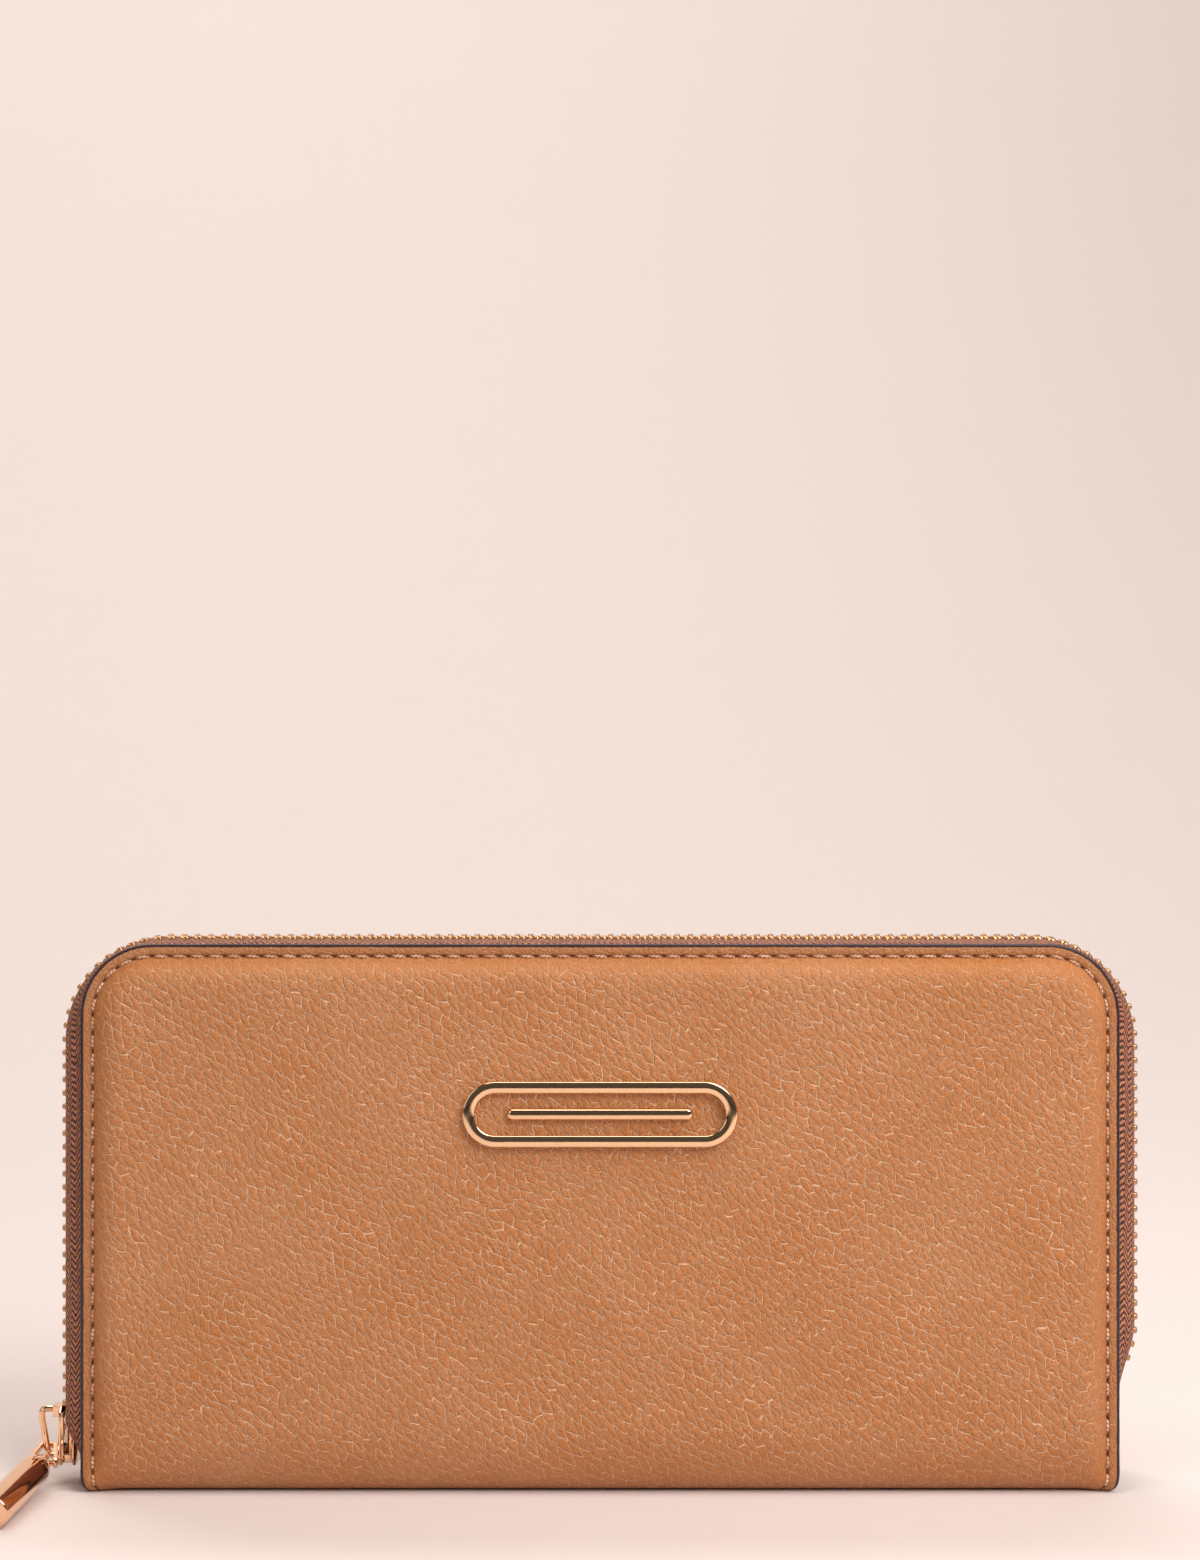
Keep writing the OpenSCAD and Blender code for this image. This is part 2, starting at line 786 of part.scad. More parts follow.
module gusset() {
    u = [for (i = [0 : 2]) -gusset_first_u - i * gusset_gap];
    color(lining_c) translate([0, 0, gusset_foot]) linear_extrude(gusset_h) ribbon([
        [gusset_in, u[0]], [gusset_out, u[0]], [gusset_out, u[1]], [gusset_in, u[1]],
        [gusset_in, u[2]], [gusset_edge, u[2]], [gusset_edge, gusset_t / 2 - lining_u],
        [gusset_edge + 2, gusset_t / 2 - lining_u]
    ], gusset_t);
}

module front_right_gusset() { gusset(); }
module front_left_gusset() { mirror([1, 0, 0]) gusset(); }
module back_right_gusset() { behind() gusset(); }
module back_left_gusset() { behind() front_left_gusset(); }

// ---- Assembly ----

spine_leather();
spine_board();
spine_lining();
front_fold_leather();
back_fold_leather();
front_leather();
front_padding();
front_board();
front_lining();
front_stitching();
front_edge_paint();
front_card_strip_1();
front_card_strip_2();
front_card_strip_3();
front_card_strip_4();
front_zip_tape();
front_zip_teeth();
front_zip_teeth_left();
front_zip_stop();
emblem_ring();
emblem_bar();
emblem_washers();
back_leather();
back_padding();
back_board();
back_lining();
back_stitching();
back_edge_paint();
back_card_strip_1();
back_card_strip_2();
back_card_strip_3();
back_card_strip_4();
back_zip_tape();
back_zip_teeth();
back_zip_teeth_left();
back_zip_stop();
coin_pocket_front_wall();
coin_pocket_back_wall();
coin_pocket_binding();
coin_zip_front_tape();
coin_zip_back_tape();
coin_zip_front_teeth();
coin_zip_back_teeth();
coin_zip_stops();
front_left_gusset();
front_right_gusset();
back_left_gusset();
back_right_gusset();
slider_body();
slider_bridge();
slider_lock_spring();
pull_link();
pull_barrel();
pull_end_cap();
coin_slider_body();
coin_pull_tab();
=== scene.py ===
"""Zip around wallet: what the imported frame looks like. Shapes are worked out in millimetres, in the
frame's own axes, and become metres in mesh_object(). Front is -Y, up is +Z, and the spine is on Z=0."""

import json
import math
import random

import bmesh
import bpy
import numpy as np
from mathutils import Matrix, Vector


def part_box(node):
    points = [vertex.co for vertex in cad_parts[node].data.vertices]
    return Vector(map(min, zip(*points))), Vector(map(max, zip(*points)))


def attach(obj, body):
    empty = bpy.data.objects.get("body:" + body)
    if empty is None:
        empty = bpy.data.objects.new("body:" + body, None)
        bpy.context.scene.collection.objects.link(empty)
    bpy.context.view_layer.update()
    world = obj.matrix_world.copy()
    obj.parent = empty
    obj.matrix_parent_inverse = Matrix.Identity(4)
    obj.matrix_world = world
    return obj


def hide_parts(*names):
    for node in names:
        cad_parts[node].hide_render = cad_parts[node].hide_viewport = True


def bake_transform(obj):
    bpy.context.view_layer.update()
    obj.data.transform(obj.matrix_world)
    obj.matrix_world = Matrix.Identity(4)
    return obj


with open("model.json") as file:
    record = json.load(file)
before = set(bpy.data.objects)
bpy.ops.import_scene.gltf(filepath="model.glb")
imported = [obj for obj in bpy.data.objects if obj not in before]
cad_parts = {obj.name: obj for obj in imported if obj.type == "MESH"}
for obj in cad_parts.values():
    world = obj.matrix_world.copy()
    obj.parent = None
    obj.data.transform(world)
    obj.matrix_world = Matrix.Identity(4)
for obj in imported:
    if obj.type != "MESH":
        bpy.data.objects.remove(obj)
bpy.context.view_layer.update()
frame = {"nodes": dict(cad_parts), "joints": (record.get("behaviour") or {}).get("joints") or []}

MM = 0.001
FRONT, BACK = -1, 1
SIDE_NAME = {FRONT: "front", BACK: "back"}
rng = random.Random(7)


# ---- Sizes from the frame ----

def box_mm(node):
    low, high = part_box(node)
    return np.array(low) / MM, np.array(high) / MM


HALF_W, FACE_U, TOP = box_mm("back_edge_paint")[1]
PANEL_U = box_mm("back_leather")[1][1]
FOLD_Z = box_mm("back_fold_leather")[1][2]
tape_low, tape_high = box_mm("back_zip_tape")
HINGES = {joint["name"]: np.array(joint["pos_m"]) / MM for joint in frame["joints"] if "pos_m" in joint}
FOLD_U = HINGES["back_fold"][1]
TEETH_PROUD = 0.25
CHAIN_HALF = tape_high[0] - TEETH_PROUD

# ---- Sizes of the looks, in millimetres ----

LEATHER_T = 1.1
CORNER_R = 13
CHAIN_R = 18.5
SKIN_TOP_OF_FOLD = 14
PAINT_W = 0.55
STITCH_INSET = 2.1
PILLOW_START = 2.5
PILLOW_END = 9
TOOTH_PITCH = 2.5
METAL_EDGE = math.radians(50)


# ---- Numbers ----

def part_way(value, start, finish):
    """How far a value has come from start to finish, held between 0 and 1."""
    return min(max((value - start) / (finish - start), 0), 1)


def smooth(t):
    return t * t * (3 - 2 * t)


def hill(place, middle, width):
    return math.exp(-((place - middle) / width) ** 2)


def squared(value, power):
    """A cosine or sine pushed out towards a square; the lower the power, the squarer."""
    return math.copysign(abs(value) ** power, value)


def turns(count, first=0.0):
    """Angles all round, starting at a share of one step."""
    return [2 * math.pi * (k + first) / count for k in range(count)]


# ---- Meshes ----

def mesh_object(name, points, faces, material):
    """A mesh object from points in millimetres."""
    mesh = bpy.data.meshes.new(name)
    mesh.from_pydata([tuple(p) for p in np.asarray(points, float) * MM], [], faces)
    work = bmesh.new()
    work.from_mesh(mesh)
    bmesh.ops.recalc_face_normals(work, faces=work.faces)
    work.to_mesh(mesh)
    work.free()
    mesh.polygons.foreach_set("use_smooth", [True] * len(mesh.polygons))
    made = bpy.data.objects.new(name, mesh)
    bpy.context.scene.collection.objects.link(made)
    mesh.materials.append(material)
    return made


def point_values(made, name, values):
    """Stores one number, or one vector, per point under a name that materials can read."""
    values = np.asarray(values, np.float32)
    kind = "FLOAT" if values.ndim == 1 else "FLOAT_VECTOR"
    layer = made.data.attributes.new(name, kind, "POINT")
    layer.data.foreach_set("value" if kind == "FLOAT" else "vector", values.ravel())


def grid_faces(rows, columns, start=0, wrap_rows=False, wrap_columns=False, flip=False):
    """Quads over a grid of points stored row by row."""
    faces = []
    for i in range(rows if wrap_rows else rows - 1):
        for j in range(columns if wrap_columns else columns - 1):
            a = start + i * columns + j
            b = start + i * columns + (j + 1) % columns
            c = start + (i + 1) % rows * columns + (j + 1) % columns
            d = start + (i + 1) % rows * columns + j
            faces.append((a, d, c, b) if flip else (a, b, c, d))
    return faces


def tube_faces(rings, sides):
    """Quads round a tube whose points are stored ring by ring, and a face over each end."""
    last = (rings - 1) * sides
    faces = grid_faces(rings, sides, wrap_columns=True)
    return faces + [tuple(range(sides)), tuple(range(last, last + sides))]


def sheet_faces(rows, columns):
    """A thin sheet: its outer grid of points, then its inner one, joined round the rim."""
    back = rows * columns
    rim = list(range(columns)) + [i * columns + columns - 1 for i in range(1, rows)]
    rim += [(rows - 1) * columns + j for j in range(columns - 2, -1, -1)]
    rim += [i * columns for i in range(rows - 2, 0, -1)]
    faces = grid_faces(rows, columns) + grid_faces(rows, columns, start=back, flip=True)
    return faces + [(a, b, b + back, a + back) for a, b in zip(rim, rim[1:] + rim[:1])]


class Parts:
    """Collects several closed shapes into one mesh."""

    def __init__(self):
        self.points, self.faces, self.values = [], [], []

    def add(self, points, faces, value=0.0):
        start = len(self.points)
        self.points += [tuple(p) for p in points]
        self.faces += [tuple(start + k for k in face) for face in faces]
        self.values += [value] * len(points)

    def tube(self, centres, radii, sides=8, value=0.0, squash=1.0, up=(0, 0, 1)):
        """A round bar along centres; each ring has its own radius, and both ends close."""
        centres = np.asarray(centres, float)
        tangents = np.gradient(centres, axis=0)
        tangents /= np.linalg.norm(tangents, axis=1)[:, None]
        rings = []
        side = np.cross(tangents[0], up)
        for centre, tangent, radius in zip(centres, tangents, radii):
            side = side - tangent * np.dot(side, tangent)
            side /= np.linalg.norm(side)
            other = np.cross(tangent, side) * squash
            rings += [centre + radius * (math.cos(a) * side + math.sin(a) * other) for a in turns(sides)]
        self.add(rings, tube_faces(len(centres), sides), value)

    def object(self, name, material):
        made = mesh_object(name, self.points, self.faces, material)
        point_values(made, "shade", self.values)
        return made


def use_modifier(made, kind, **settings):
    """Adds a modifier, applies it and leaves plain mesh."""
    modifier = made.modifiers.new(kind.lower(), kind)
    for key, value in settings.items():
        setattr(modifier, key, value)
    depsgraph = bpy.context.evaluated_depsgraph_get()
    mesh = bpy.data.meshes.new_from_object(made.evaluated_get(depsgraph))
    made.modifiers.clear()
    made.data = mesh


SOFTEN_OVER = math.radians(40)
SHARP_OVER = math.radians(34)


def softened(node, name, width, material, segments=3):
    """A copy of a CAD node whose hard edges are rounded over, standing for that node."""
    original = frame["nodes"][node]
    made = bpy.data.objects.new(name, original.data.copy())
    bpy.context.scene.collection.objects.link(made)
    made.matrix_world = original.matrix_world
    made.data.materials.clear()
    made.data.materials.append(material)
    use_modifier(made, "WELD", merge_threshold=1e-6)
    use_modifier(made, "DECIMATE", decimate_type="DISSOLVE", angle_limit=math.radians(1))
    use_modifier(made, "BEVEL", width=width * MM, segments=segments, limit_method="ANGLE",
                 angle_limit=SOFTEN_OVER, use_clamp_overlap=True)
    use_modifier(made, "TRIANGULATE")
    made.data.polygons.foreach_set("use_smooth", [True] * len(made.data.polygons))
    made.data.set_sharp_from_angle(angle=SHARP_OVER)
    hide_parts(node)
    return made


def settle(made, slot, body, *nodes):
    """Hangs a piece on the body it rides on and hides the CAD nodes it stands for; slot, what it is made of,
    is not used.
    """
    if nodes:
        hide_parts(*nodes)
    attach(made, body)


# ---- Materials ----

def linear(red, green, blue):
    """A screen colour, 0 to 255, as the shader's own numbers."""
    return tuple(((v / 255 + 0.055) / 1.055) ** 2.4 for v in (red, green, blue)) + (1,)


def dimmed(colour, share):
    return tuple(v * share for v in colour[:3]) + (1,)


def add_node(tree, kind, inputs=None, **settings):
    made = tree.nodes.new(kind)
    for key, value in settings.items():
        setattr(made, key, value)
    for key, value in (inputs or {}).items():
        if isinstance(value, bpy.types.NodeSocket):
            tree.links.new(value, made.inputs[key])
        else:
            made.inputs[key].default_value = value
    return made


def maths(tree, operation, *values):
    made = add_node(tree, "ShaderNodeMath", dict(enumerate(values)), operation=operation)
    return made.outputs[0]


def product(tree, first, second):
    return maths(tree, "MULTIPLY", first, second)


def scaled_sum(tree, value, scale, plus):
    return maths(tree, "MULTIPLY_ADD", value, scale, plus)


def ramp(tree, value, *stops, ease=False):
    """Colours, or greys, along a value from 0 to 1."""
    made = add_node(tree, "ShaderNodeValToRGB", {0: value})
    elements = made.color_ramp.elements
    made.color_ramp.interpolation = "EASE" if ease else "LINEAR"
    while len(elements) < len(stops):
        elements.new(0.5)
    for element, (place, colour) in zip(elements, stops):
        element.position = place
        element.color = colour if isinstance(colour, tuple) else (colour, colour, colour, 1)
    return made.outputs[0]


def mixed(tree, factor, first, second):
    return add_node(tree, "ShaderNodeMixRGB", {0: factor, 1: first, 2: second}).outputs[0]


def new_material(name, **settings):
    """A material and its tree; settings go on the shader's own sockets, with _ for a space."""
    made = bpy.data.materials.new(name)
    made.use_nodes = True
    shader = made.node_tree.nodes["Principled BSDF"]
    for key, value in settings.items():
        shader.inputs[key.replace("_", " ")].default_value = value
    return made, made.node_tree, shader


def join_up(tree, shader, colour=None, roughness=None, height=None, depth=0.1):
    """Links what a material has worked out; depth is the bump's height in millimetres."""
    if colour is not None:
        tree.links.new(colour, shader.inputs["Base Color"])
    if roughness is not None:
        tree.links.new(roughness, shader.inputs["Roughness"])
    if height is not None:
        bump = add_node(tree, "ShaderNodeBump", {"Height": height, "Strength": 1.0, "Distance": depth * MM})
        tree.links.new(bump.outputs[0], shader.inputs["Normal"])


def stored(tree, name, number=True):
    made = add_node(tree, "ShaderNodeAttribute", attribute_name=name)
    return made.outputs["Fac" if number else "Vector"]


def object_place(tree):
    return add_node(tree, "ShaderNodeTexCoord").outputs["Object"]


def noise(tree, vector, scale, detail=2.0, roughness=0.5):
    made = add_node(tree, "ShaderNodeTexNoise",
                    {"Vector": vector, "Scale": scale, "Detail": detail, "Roughness": roughness})
    return made.outputs[0]


def lattice(*ways):
    """Two rows that turn a place in millimetres into cells, whose sides have the given directions, in
    degrees, and lengths."""
    sides = [(length * math.cos(math.radians(angle)), length * math.sin(math.radians(angle)))
             for angle, length in ways]
    return np.linalg.inv(np.array(sides).T)


CELL_SIDES = lattice((-76, 2.6), (-34, 2.4))
SMALL_SIDES = lattice((-8, 1.25), (-66, 1.1))


def pebbles(tree, vector):
    """The hide's lozenge cells, whose creases run on along one diagonal: how far each point is from a
    crease, and the same for the smaller creases. The vector is in millimetres."""
    pushed = vector
    for scale, detail, amount in ((0.045, 1.0, 6.5), (0.7, 2.0, 0.8)):
        wander = add_node(tree, "ShaderNodeTexNoise", {"Vector": vector, "Scale": scale, "Detail": detail})
        push = add_node(tree, "ShaderNodeVectorMath", {0: wander.outputs[1], 1: (0.5, 0.5, 0.5)},
                        operation="SUBTRACT")
        pushed = add_node(tree, "ShaderNodeVectorMath",
                          {0: push.outputs[0], 1: (amount, amount, amount), 2: pushed},
                          operation="MULTIPLY_ADD").outputs[0]
    edges = []
    for rows, randomness in ((CELL_SIDES, 0.55), (SMALL_SIDES, 0.9)):
        counts = [add_node(tree, "ShaderNodeVectorMath", {0: pushed, 1: (row[0], row[1], 0)},
                           operation="DOT_PRODUCT").outputs[1] for row in rows]
        cells = add_node(tree, "ShaderNodeCombineXYZ", {0: counts[0], 1: counts[1]}).outputs[0]
        inputs = {"Vector": cells, "Scale": 1.0, "Randomness": randomness}
        edges.append(add_node(tree, "ShaderNodeTexVoronoi", inputs, feature="DISTANCE_TO_EDGE",
                              voronoi_dimensions="2D").outputs["Distance"])
    return edges


HIDE_ROUGHNESS = 0.43


def leather(name, colour, light, dark):
    """Pebbled hide. Points carry 'grain', their place on the flat hide in millimetres, 'amount', how
    strong the grain is there, and 'groove_shade', the painted shade in stitch grooves and needle holes."""
    made, tree, shader = new_material(name, Roughness=HIDE_ROUGHNESS, Specular_IOR_Level=0.6,
                                      Sheen_Weight=0.08, Sheen_Roughness=0.45)
    vector = stored(tree, "grain", number=False)
    amount = stored(tree, "amount")
    cell, small = pebbles(tree, vector)
    patches = ramp(tree, noise(tree, vector, 0.16), (0.35, 0.25), (0.65, 0.9))
    cell_line = ramp(tree, cell, (0, 0), (0.09, 1), ease=True)
    cell_dome = ramp(tree, cell, (0, 0), (0.45, 1), ease=True)
    small_line = ramp(tree, small, (0, 0), (0.2, 1), ease=True)
    height = scaled_sum(tree, cell_line, 0.7, product(tree, cell_dome, 0.22))
    height = scaled_sum(tree, product(tree, small_line, patches), 0.22, height)
    height = product(tree, height, amount)
    pores = noise(tree, vector, 2.3, 4.0, 0.75)
    height = scaled_sum(tree, pores, 0.7, height)
    tone = mixed(tree, ramp(tree, noise(tree, vector, 0.035, 3.0), (0.3, 0), (0.75, 0.15)), colour, light)
    tone = mixed(tree, ramp(tree, pores, (0.36, 0.36), (0.54, 0)), tone, dark)
    # Painted highlight: the large and small crease lines are coloured lighter, as if catching the light
    crease_highlight = ramp(tree, cell, (0.015, 1), (0.08, 0), ease=True)
    small_crease_highlight = product(tree, ramp(tree, small, (0.01, 0.45), (0.1, 0), ease=True), patches)
    crease = product(tree, maths(tree, "MAXIMUM", crease_highlight, small_crease_highlight), amount)
    tone = mixed(tree, crease, tone, light)
    # Painted shade: the stitch grooves and needle holes are darkened towards the dark colour
    tone = mixed(tree, stored(tree, "groove_shade"), tone, dark)
    shine = scaled_sum(tree, pores, 0.16, HIDE_ROUGHNESS - 0.08)
    join_up(tree, shader, tone, shine, height, 0.4)
    return made


def polished(name, colour, roughness, wear=0.05):
    """Plated metal with faint polishing marks."""
    made, tree, shader = new_material(name, Base_Color=colour, Metallic=1.0)
    vector = object_place(tree)
    marks = noise(tree, vector, 900, 3.0)
    smears = noise(tree, vector, 160, 2.0)
    shine = scaled_sum(tree, smears, wear, roughness)
    tone = mixed(tree, ramp(tree, marks, (0.45, 0), (0.8, 0.25)), colour, dimmed(colour, 0.8))
    join_up(tree, shader, tone, shine, marks, 0.004)
    return made


RIB_PITCH, RIB_COLUMN, RIB_SLOPE = 1.14, 1.15, 1.3


def woven(name, colour, light, dark):
    """Herringbone zip tape, with painted shade between the ribs and a painted highlight on their tops.
    Points carry 'weave': their place along and across the tape in millimetres."""
    made, tree, shader = new_material(name, Roughness=0.8, Sheen_Weight=0.08, Sheen_Roughness=0.4)
    vector = stored(tree, "weave", number=False)
    parts = add_node(tree, "ShaderNodeSeparateXYZ", {0: vector}).outputs
    wander = scaled_sum(tree, noise(tree, vector, 1.1, 3.0, 0.7), 1.1, parts[0])
    folded = maths(tree, "PINGPONG", parts[1], RIB_COLUMN)
    slanted = scaled_sum(tree, folded, RIB_SLOPE, wander)
    turn = product(tree, slanted, 2 * math.pi / RIB_PITCH)
    rib = scaled_sum(tree, maths(tree, "SINE", turn), 0.5, 0.5)
    fuzz = noise(tree, vector, 3.2, 4.0, 0.75)
    strand_highlight = product(tree, ramp(tree, rib, (0.25, 0), (0.9, 1)),
                   ramp(tree, fuzz, (0.42, 0.1), (0.6, 1)))
    height = scaled_sum(tree, fuzz, 0.7, rib)
    # Painted shade between the ribs, then a painted highlight on the rib tops
    tone = mixed(tree, ramp(tree, rib, (0.1, 0), (0.5, 1)), dark, colour)
    tone = mixed(tree, strand_highlight, tone, light)
    join_up(tree, shader, tone, None, height, 0.25)
    return made


LINING_THREAD = 0.35


def cloth(name, colour):
    """Plain weave lining."""
    made, tree, shader = new_material(name, Roughness=0.75, Sheen_Weight=0.25)
    scaled = add_node(tree, "ShaderNodeVectorMath", {0: object_place(tree), 1: (1 / MM, 1 / MM, 1 / MM)},
                      operation="MULTIPLY").outputs[0]
    parts = add_node(tree, "ShaderNodeSeparateXYZ", {0: scaled}).outputs
    waves = [maths(tree, "SINE", product(tree, parts[k], 2 * math.pi / LINING_THREAD))
             for k in (0, 2)]
    weave = scaled_sum(tree, product(tree, *waves), 0.5, 0.5)
    fuzz = product(tree, noise(tree, scaled, 0.4, 3.0), 0.5)
    tone = mixed(tree, scaled_sum(tree, weave, 0.5, fuzz), dimmed(colour, 0.6), colour)
    join_up(tree, shader, tone, None, weave, 0.05)
    return made


def plain_grain(name, colour, roughness, scale, depth=0.04):
    """Small even grain, for painted edges, board and trim."""
    made, tree, shader = new_material(name, Roughness=roughness)
    vector = object_place(tree)
    bumps = noise(tree, vector, scale, 4.0, 0.6)
    clouds = noise(tree, vector, scale / 14, 2.0)
    tone = mixed(tree, clouds, dimmed(colour, 0.72), colour)
    shine = scaled_sum(tree, bumps, 0.2, roughness - 0.1)
    join_up(tree, shader, tone, shine, bumps, depth)
    return made


def thread(name, colour, light):
    """Twisted sewing thread, with painted shade between the plies and a painted highlight on their tops.
    Points carry 'twist': turns round and along the thread.
    """
    made, tree, shader = new_material(name, Roughness=0.5, Sheen_Weight=0.3)
    ply = maths(tree, "SINE", product(tree, stored(tree, "twist"), 2 * math.pi))
    ply = scaled_sum(tree, ply, 0.5, 0.5)
    # Painted shade between the plies, then a painted highlight on the ply tops, stronger where a stitch's
    # random 'shade' value is higher
    tone = mixed(tree, ply, dimmed(colour, 0.5), colour)
    tone = mixed(tree, product(tree, ply, stored(tree, "shade")), tone, light)
    join_up(tree, shader, tone, None, ply, 0.06)
    return made


TAN = linear(197, 118, 46)
# The light colour gives random paler patches and the painted highlight on the creases; the dark one gives the
# pores and the painted shade in stitch grooves and needle holes
HIDE = leather("hide", TAN, linear(246, 196, 156), linear(78, 36, 18))
TRIM = plain_grain("trim hide", linear(188, 118, 66), 0.5, 1500, 0.05)
PAINT = plain_grain("edge paint", linear(58, 34, 36), 0.38, 2500, 0.02)
# Thread colour, then the painted highlight on the plies
THREAD = thread("sewing thread", linear(212, 146, 96), linear(246, 206, 176))
# Tape colour, then the painted highlight on the rib tops and the painted shade between the ribs
TAPE = woven("zip tape", linear(146, 76, 44), linear(240, 168, 132), linear(66, 28, 16))
ROSE_GOLD = polished("rose gold", linear(240, 196, 160), 0.07)
EMBLEM_GOLD = polished("pale gold", linear(238, 200, 160), 0.09)
TOOTH_GOLD = polished("tooth gold", linear(196, 150, 108), 0.28, 0.12)
LINING = cloth("lining cloth", linear(120, 78, 52))
BOARD = plain_grain("board", linear(150, 130, 105), 0.8, 700)


# ---- The U-shaped edge of a cover ----

SIDE_L = TOP - CORNER_R - SKIN_TOP_OF_FOLD
STITCH_R = CORNER_R - STITCH_INSET
ARC_L = STITCH_R * math.pi / 2
TOP_L = 2 * (HALF_W - CORNER_R)
EDGE_STEPS = 618
EDGE_L = 2 * SIDE_L + 2 * ARC_L + TOP_L
STEP = EDGE_L / EDGE_STEPS
STEPS_PER_STITCH = 6
PITCH = STEP * STEPS_PER_STITCH
DROP_L = SKIN_TOP_OF_FOLD - FOLD_Z
FOLD_L = FOLD_Z * math.pi / 2


UP, DOWN, OUT = np.array([0.0, 1.0]), np.array([0.0, -1.0]), np.array([1.0, 0.0])


def bent_line(run, start, along, straight, radius):
    """A line that runs straight along its first way, turns a quarter inwards, then runs straight on: the
    place and the outward direction at a length along it."""
    past = run - straight
    if past < 0:
        return start + run * along, OUT
    middle = start + straight * along - radius * OUT
    turn = past / radius
    if turn < math.pi / 2:
        way = math.cos(turn) * OUT + math.sin(turn) * along
        return middle + radius * way, way
    return middle + radius * along - (past - radius * math.pi / 2) * OUT, along


def face_curve(run):
    """The border's line (u, z) below SKIN_TOP_OF_FOLD: down the face, round the fold, then under the
    spine."""
    return bent_line(run, (FACE_U, SKIN_TOP_OF_FOLD), DOWN, DROP_L, FOLD_Z)


FOOT_PULL = 1.5


def foot_pull(below):
    """How far the ends of the fold draw in towards the middle, going under."""
    return FOOT_PULL * part_way(below, DROP_L - FOOT_PULL, DROP_L + FOLD_L) ** 2.5


def edge_point(run, inset, lift):
    """A point (x, u, z) at a running length along the stitch line, which is 0 where the left side
    meets the bottom strip. lift is outward from the border's face."""
    sign = -1 if run < EDGE_L / 2 else 1
    run = min(run, EDGE_L - run)
    if run < 0:
        (u, z), out = face_curve(-run)
        x = sign * (HALF_W - inset - foot_pull(-run))
        return np.array([x, u + out[0] * lift, z + out[1] * lift])
    place, out = bent_line(run, (HALF_W - STITCH_INSET, SKIN_TOP_OF_FOLD), UP, SIDE_L, STITCH_R)
    x, z = place + (STITCH_INSET - inset) * out
    return np.array([sign * x, FACE_U + lift, z])


def pillow(inset):
    """How far the padded panel stands proud of the border, as a share, at an inset."""
    return 1 - (1 - part_way(inset, PILLOW_START, PILLOW_END)) ** 3


def hole_near(run):
    """1 at a needle hole, 0 half way along a stitch."""
    return (0.5 + 0.5 * math.cos(2 * math.pi * run / PITCH)) ** 3


EDGE_ROUND, EDGE_ROUND_W = 0.28, 0.5
CROWN, CROWN_START, CROWN_END = 0.10, 0.3, 1.8
GROOVE, HOLE, GROOVE_W = 0.30, 0.28, 0.27
PUCKERS = ((0.05, STITCH_INSET + 1.1, 0.7), (0.04, STITCH_INSET - 0.8, 0.45))


def border_lift(run, inset):
    """The border's own relief: rounded edge, crown, stitch groove and the pucker between stitches."""
    edge = EDGE_ROUND * (1 - part_way(inset, 0, EDGE_ROUND_W)) ** 2
    crown = CROWN * math.sin(math.pi * part_way(inset, CROWN_START, CROWN_END))
    hole = hole_near(run)
    groove = (GROOVE + HOLE * hole) * hill(inset, STITCH_INSET, GROOVE_W)
    pucker = (2 * hole - 1) * sum(size * hill(inset, middle, width) for size, middle, width in PUCKERS)
    return crown - edge - groove - pucker


def border_insets():
    """Rows across the border and the pillow's slope, closest together at the stitch line."""
    insets = [0.0]
    while insets[-1] < PILLOW_END:
        insets.append(insets[-1] + min(0.62, 0.11 + 0.17 * abs(insets[-1] - STITCH_INSET)))
    return [v * PILLOW_END / insets[-1] for v in insets]


def resampled(points, shares):
    """Points along a line of points, at shares of its length."""
    points = np.asarray(points, float)
    lengths = np.concatenate([[0], np.cumsum(np.linalg.norm(np.diff(points, axis=0), axis=1))])
    return np.stack([np.interp(np.asarray(shares) * lengths[-1], lengths, points[:, k])
                     for k in range(points.shape[1])], axis=1)


PANEL_FOOT_U = 4.6
PANEL_ROUND = 2.2
THETAS = np.linspace(0, math.pi / 2, 200)
PANEL_CURVE = [(PANEL_FOOT_U + (PANEL_U - PANEL_FOOT_U) * math.cos(a) ** (2 / PANEL_ROUND),
                SKIN_TOP_OF_FOLD * (1 - math.sin(a) ** (2 / PANEL_ROUND))) for a in THETAS] + [(0, 0)]
BOTTOM_RUNS = [STEP * k for k in range(1, math.ceil((DROP_L + FOLD_L) / STEP) + 1)]
BOTTOM_RUNS += list(np.linspace(BOTTOM_RUNS[-1], DROP_L + FOLD_L + FOLD_U, 9)[1:])
BOTTOM_SHARES = [run / BOTTOM_RUNS[-1] for run in BOTTOM_RUNS]
PANEL_BOTTOM = resampled(PANEL_CURVE, BOTTOM_SHARES)
PANEL_LENGTH = float(np.sum(np.linalg.norm(np.diff(PANEL_CURVE, axis=0), axis=1)))


# Height, spread along x and z, and start of each wave
SWELLS = ((0.10, 17, 29, 1), (0.07, 7.3, -11, 2), (0.05, 23, 5.1, 0))
MIDDLE_SWELL = 0.12


def edge_runs(every=1):
    """Places along the cut edge, from the spine round the cover and back."""
    runs = [-below for below in BOTTOM_RUNS[::-1]] + [k * STEP for k in range(0, EDGE_STEPS + 1, every)]
    return runs + [EDGE_L + below for below in BOTTOM_RUNS]


def swell(x, z):
    """The panel's slow unevenness over its padding."""
    waves = sum(size * math.sin(x / wide + z / tall + first) for size, wide, tall, first in SWELLS)
    return waves + MIDDLE_SWELL * (1 - (x / HALF_W) ** 2)


# ---- The outer hide ----

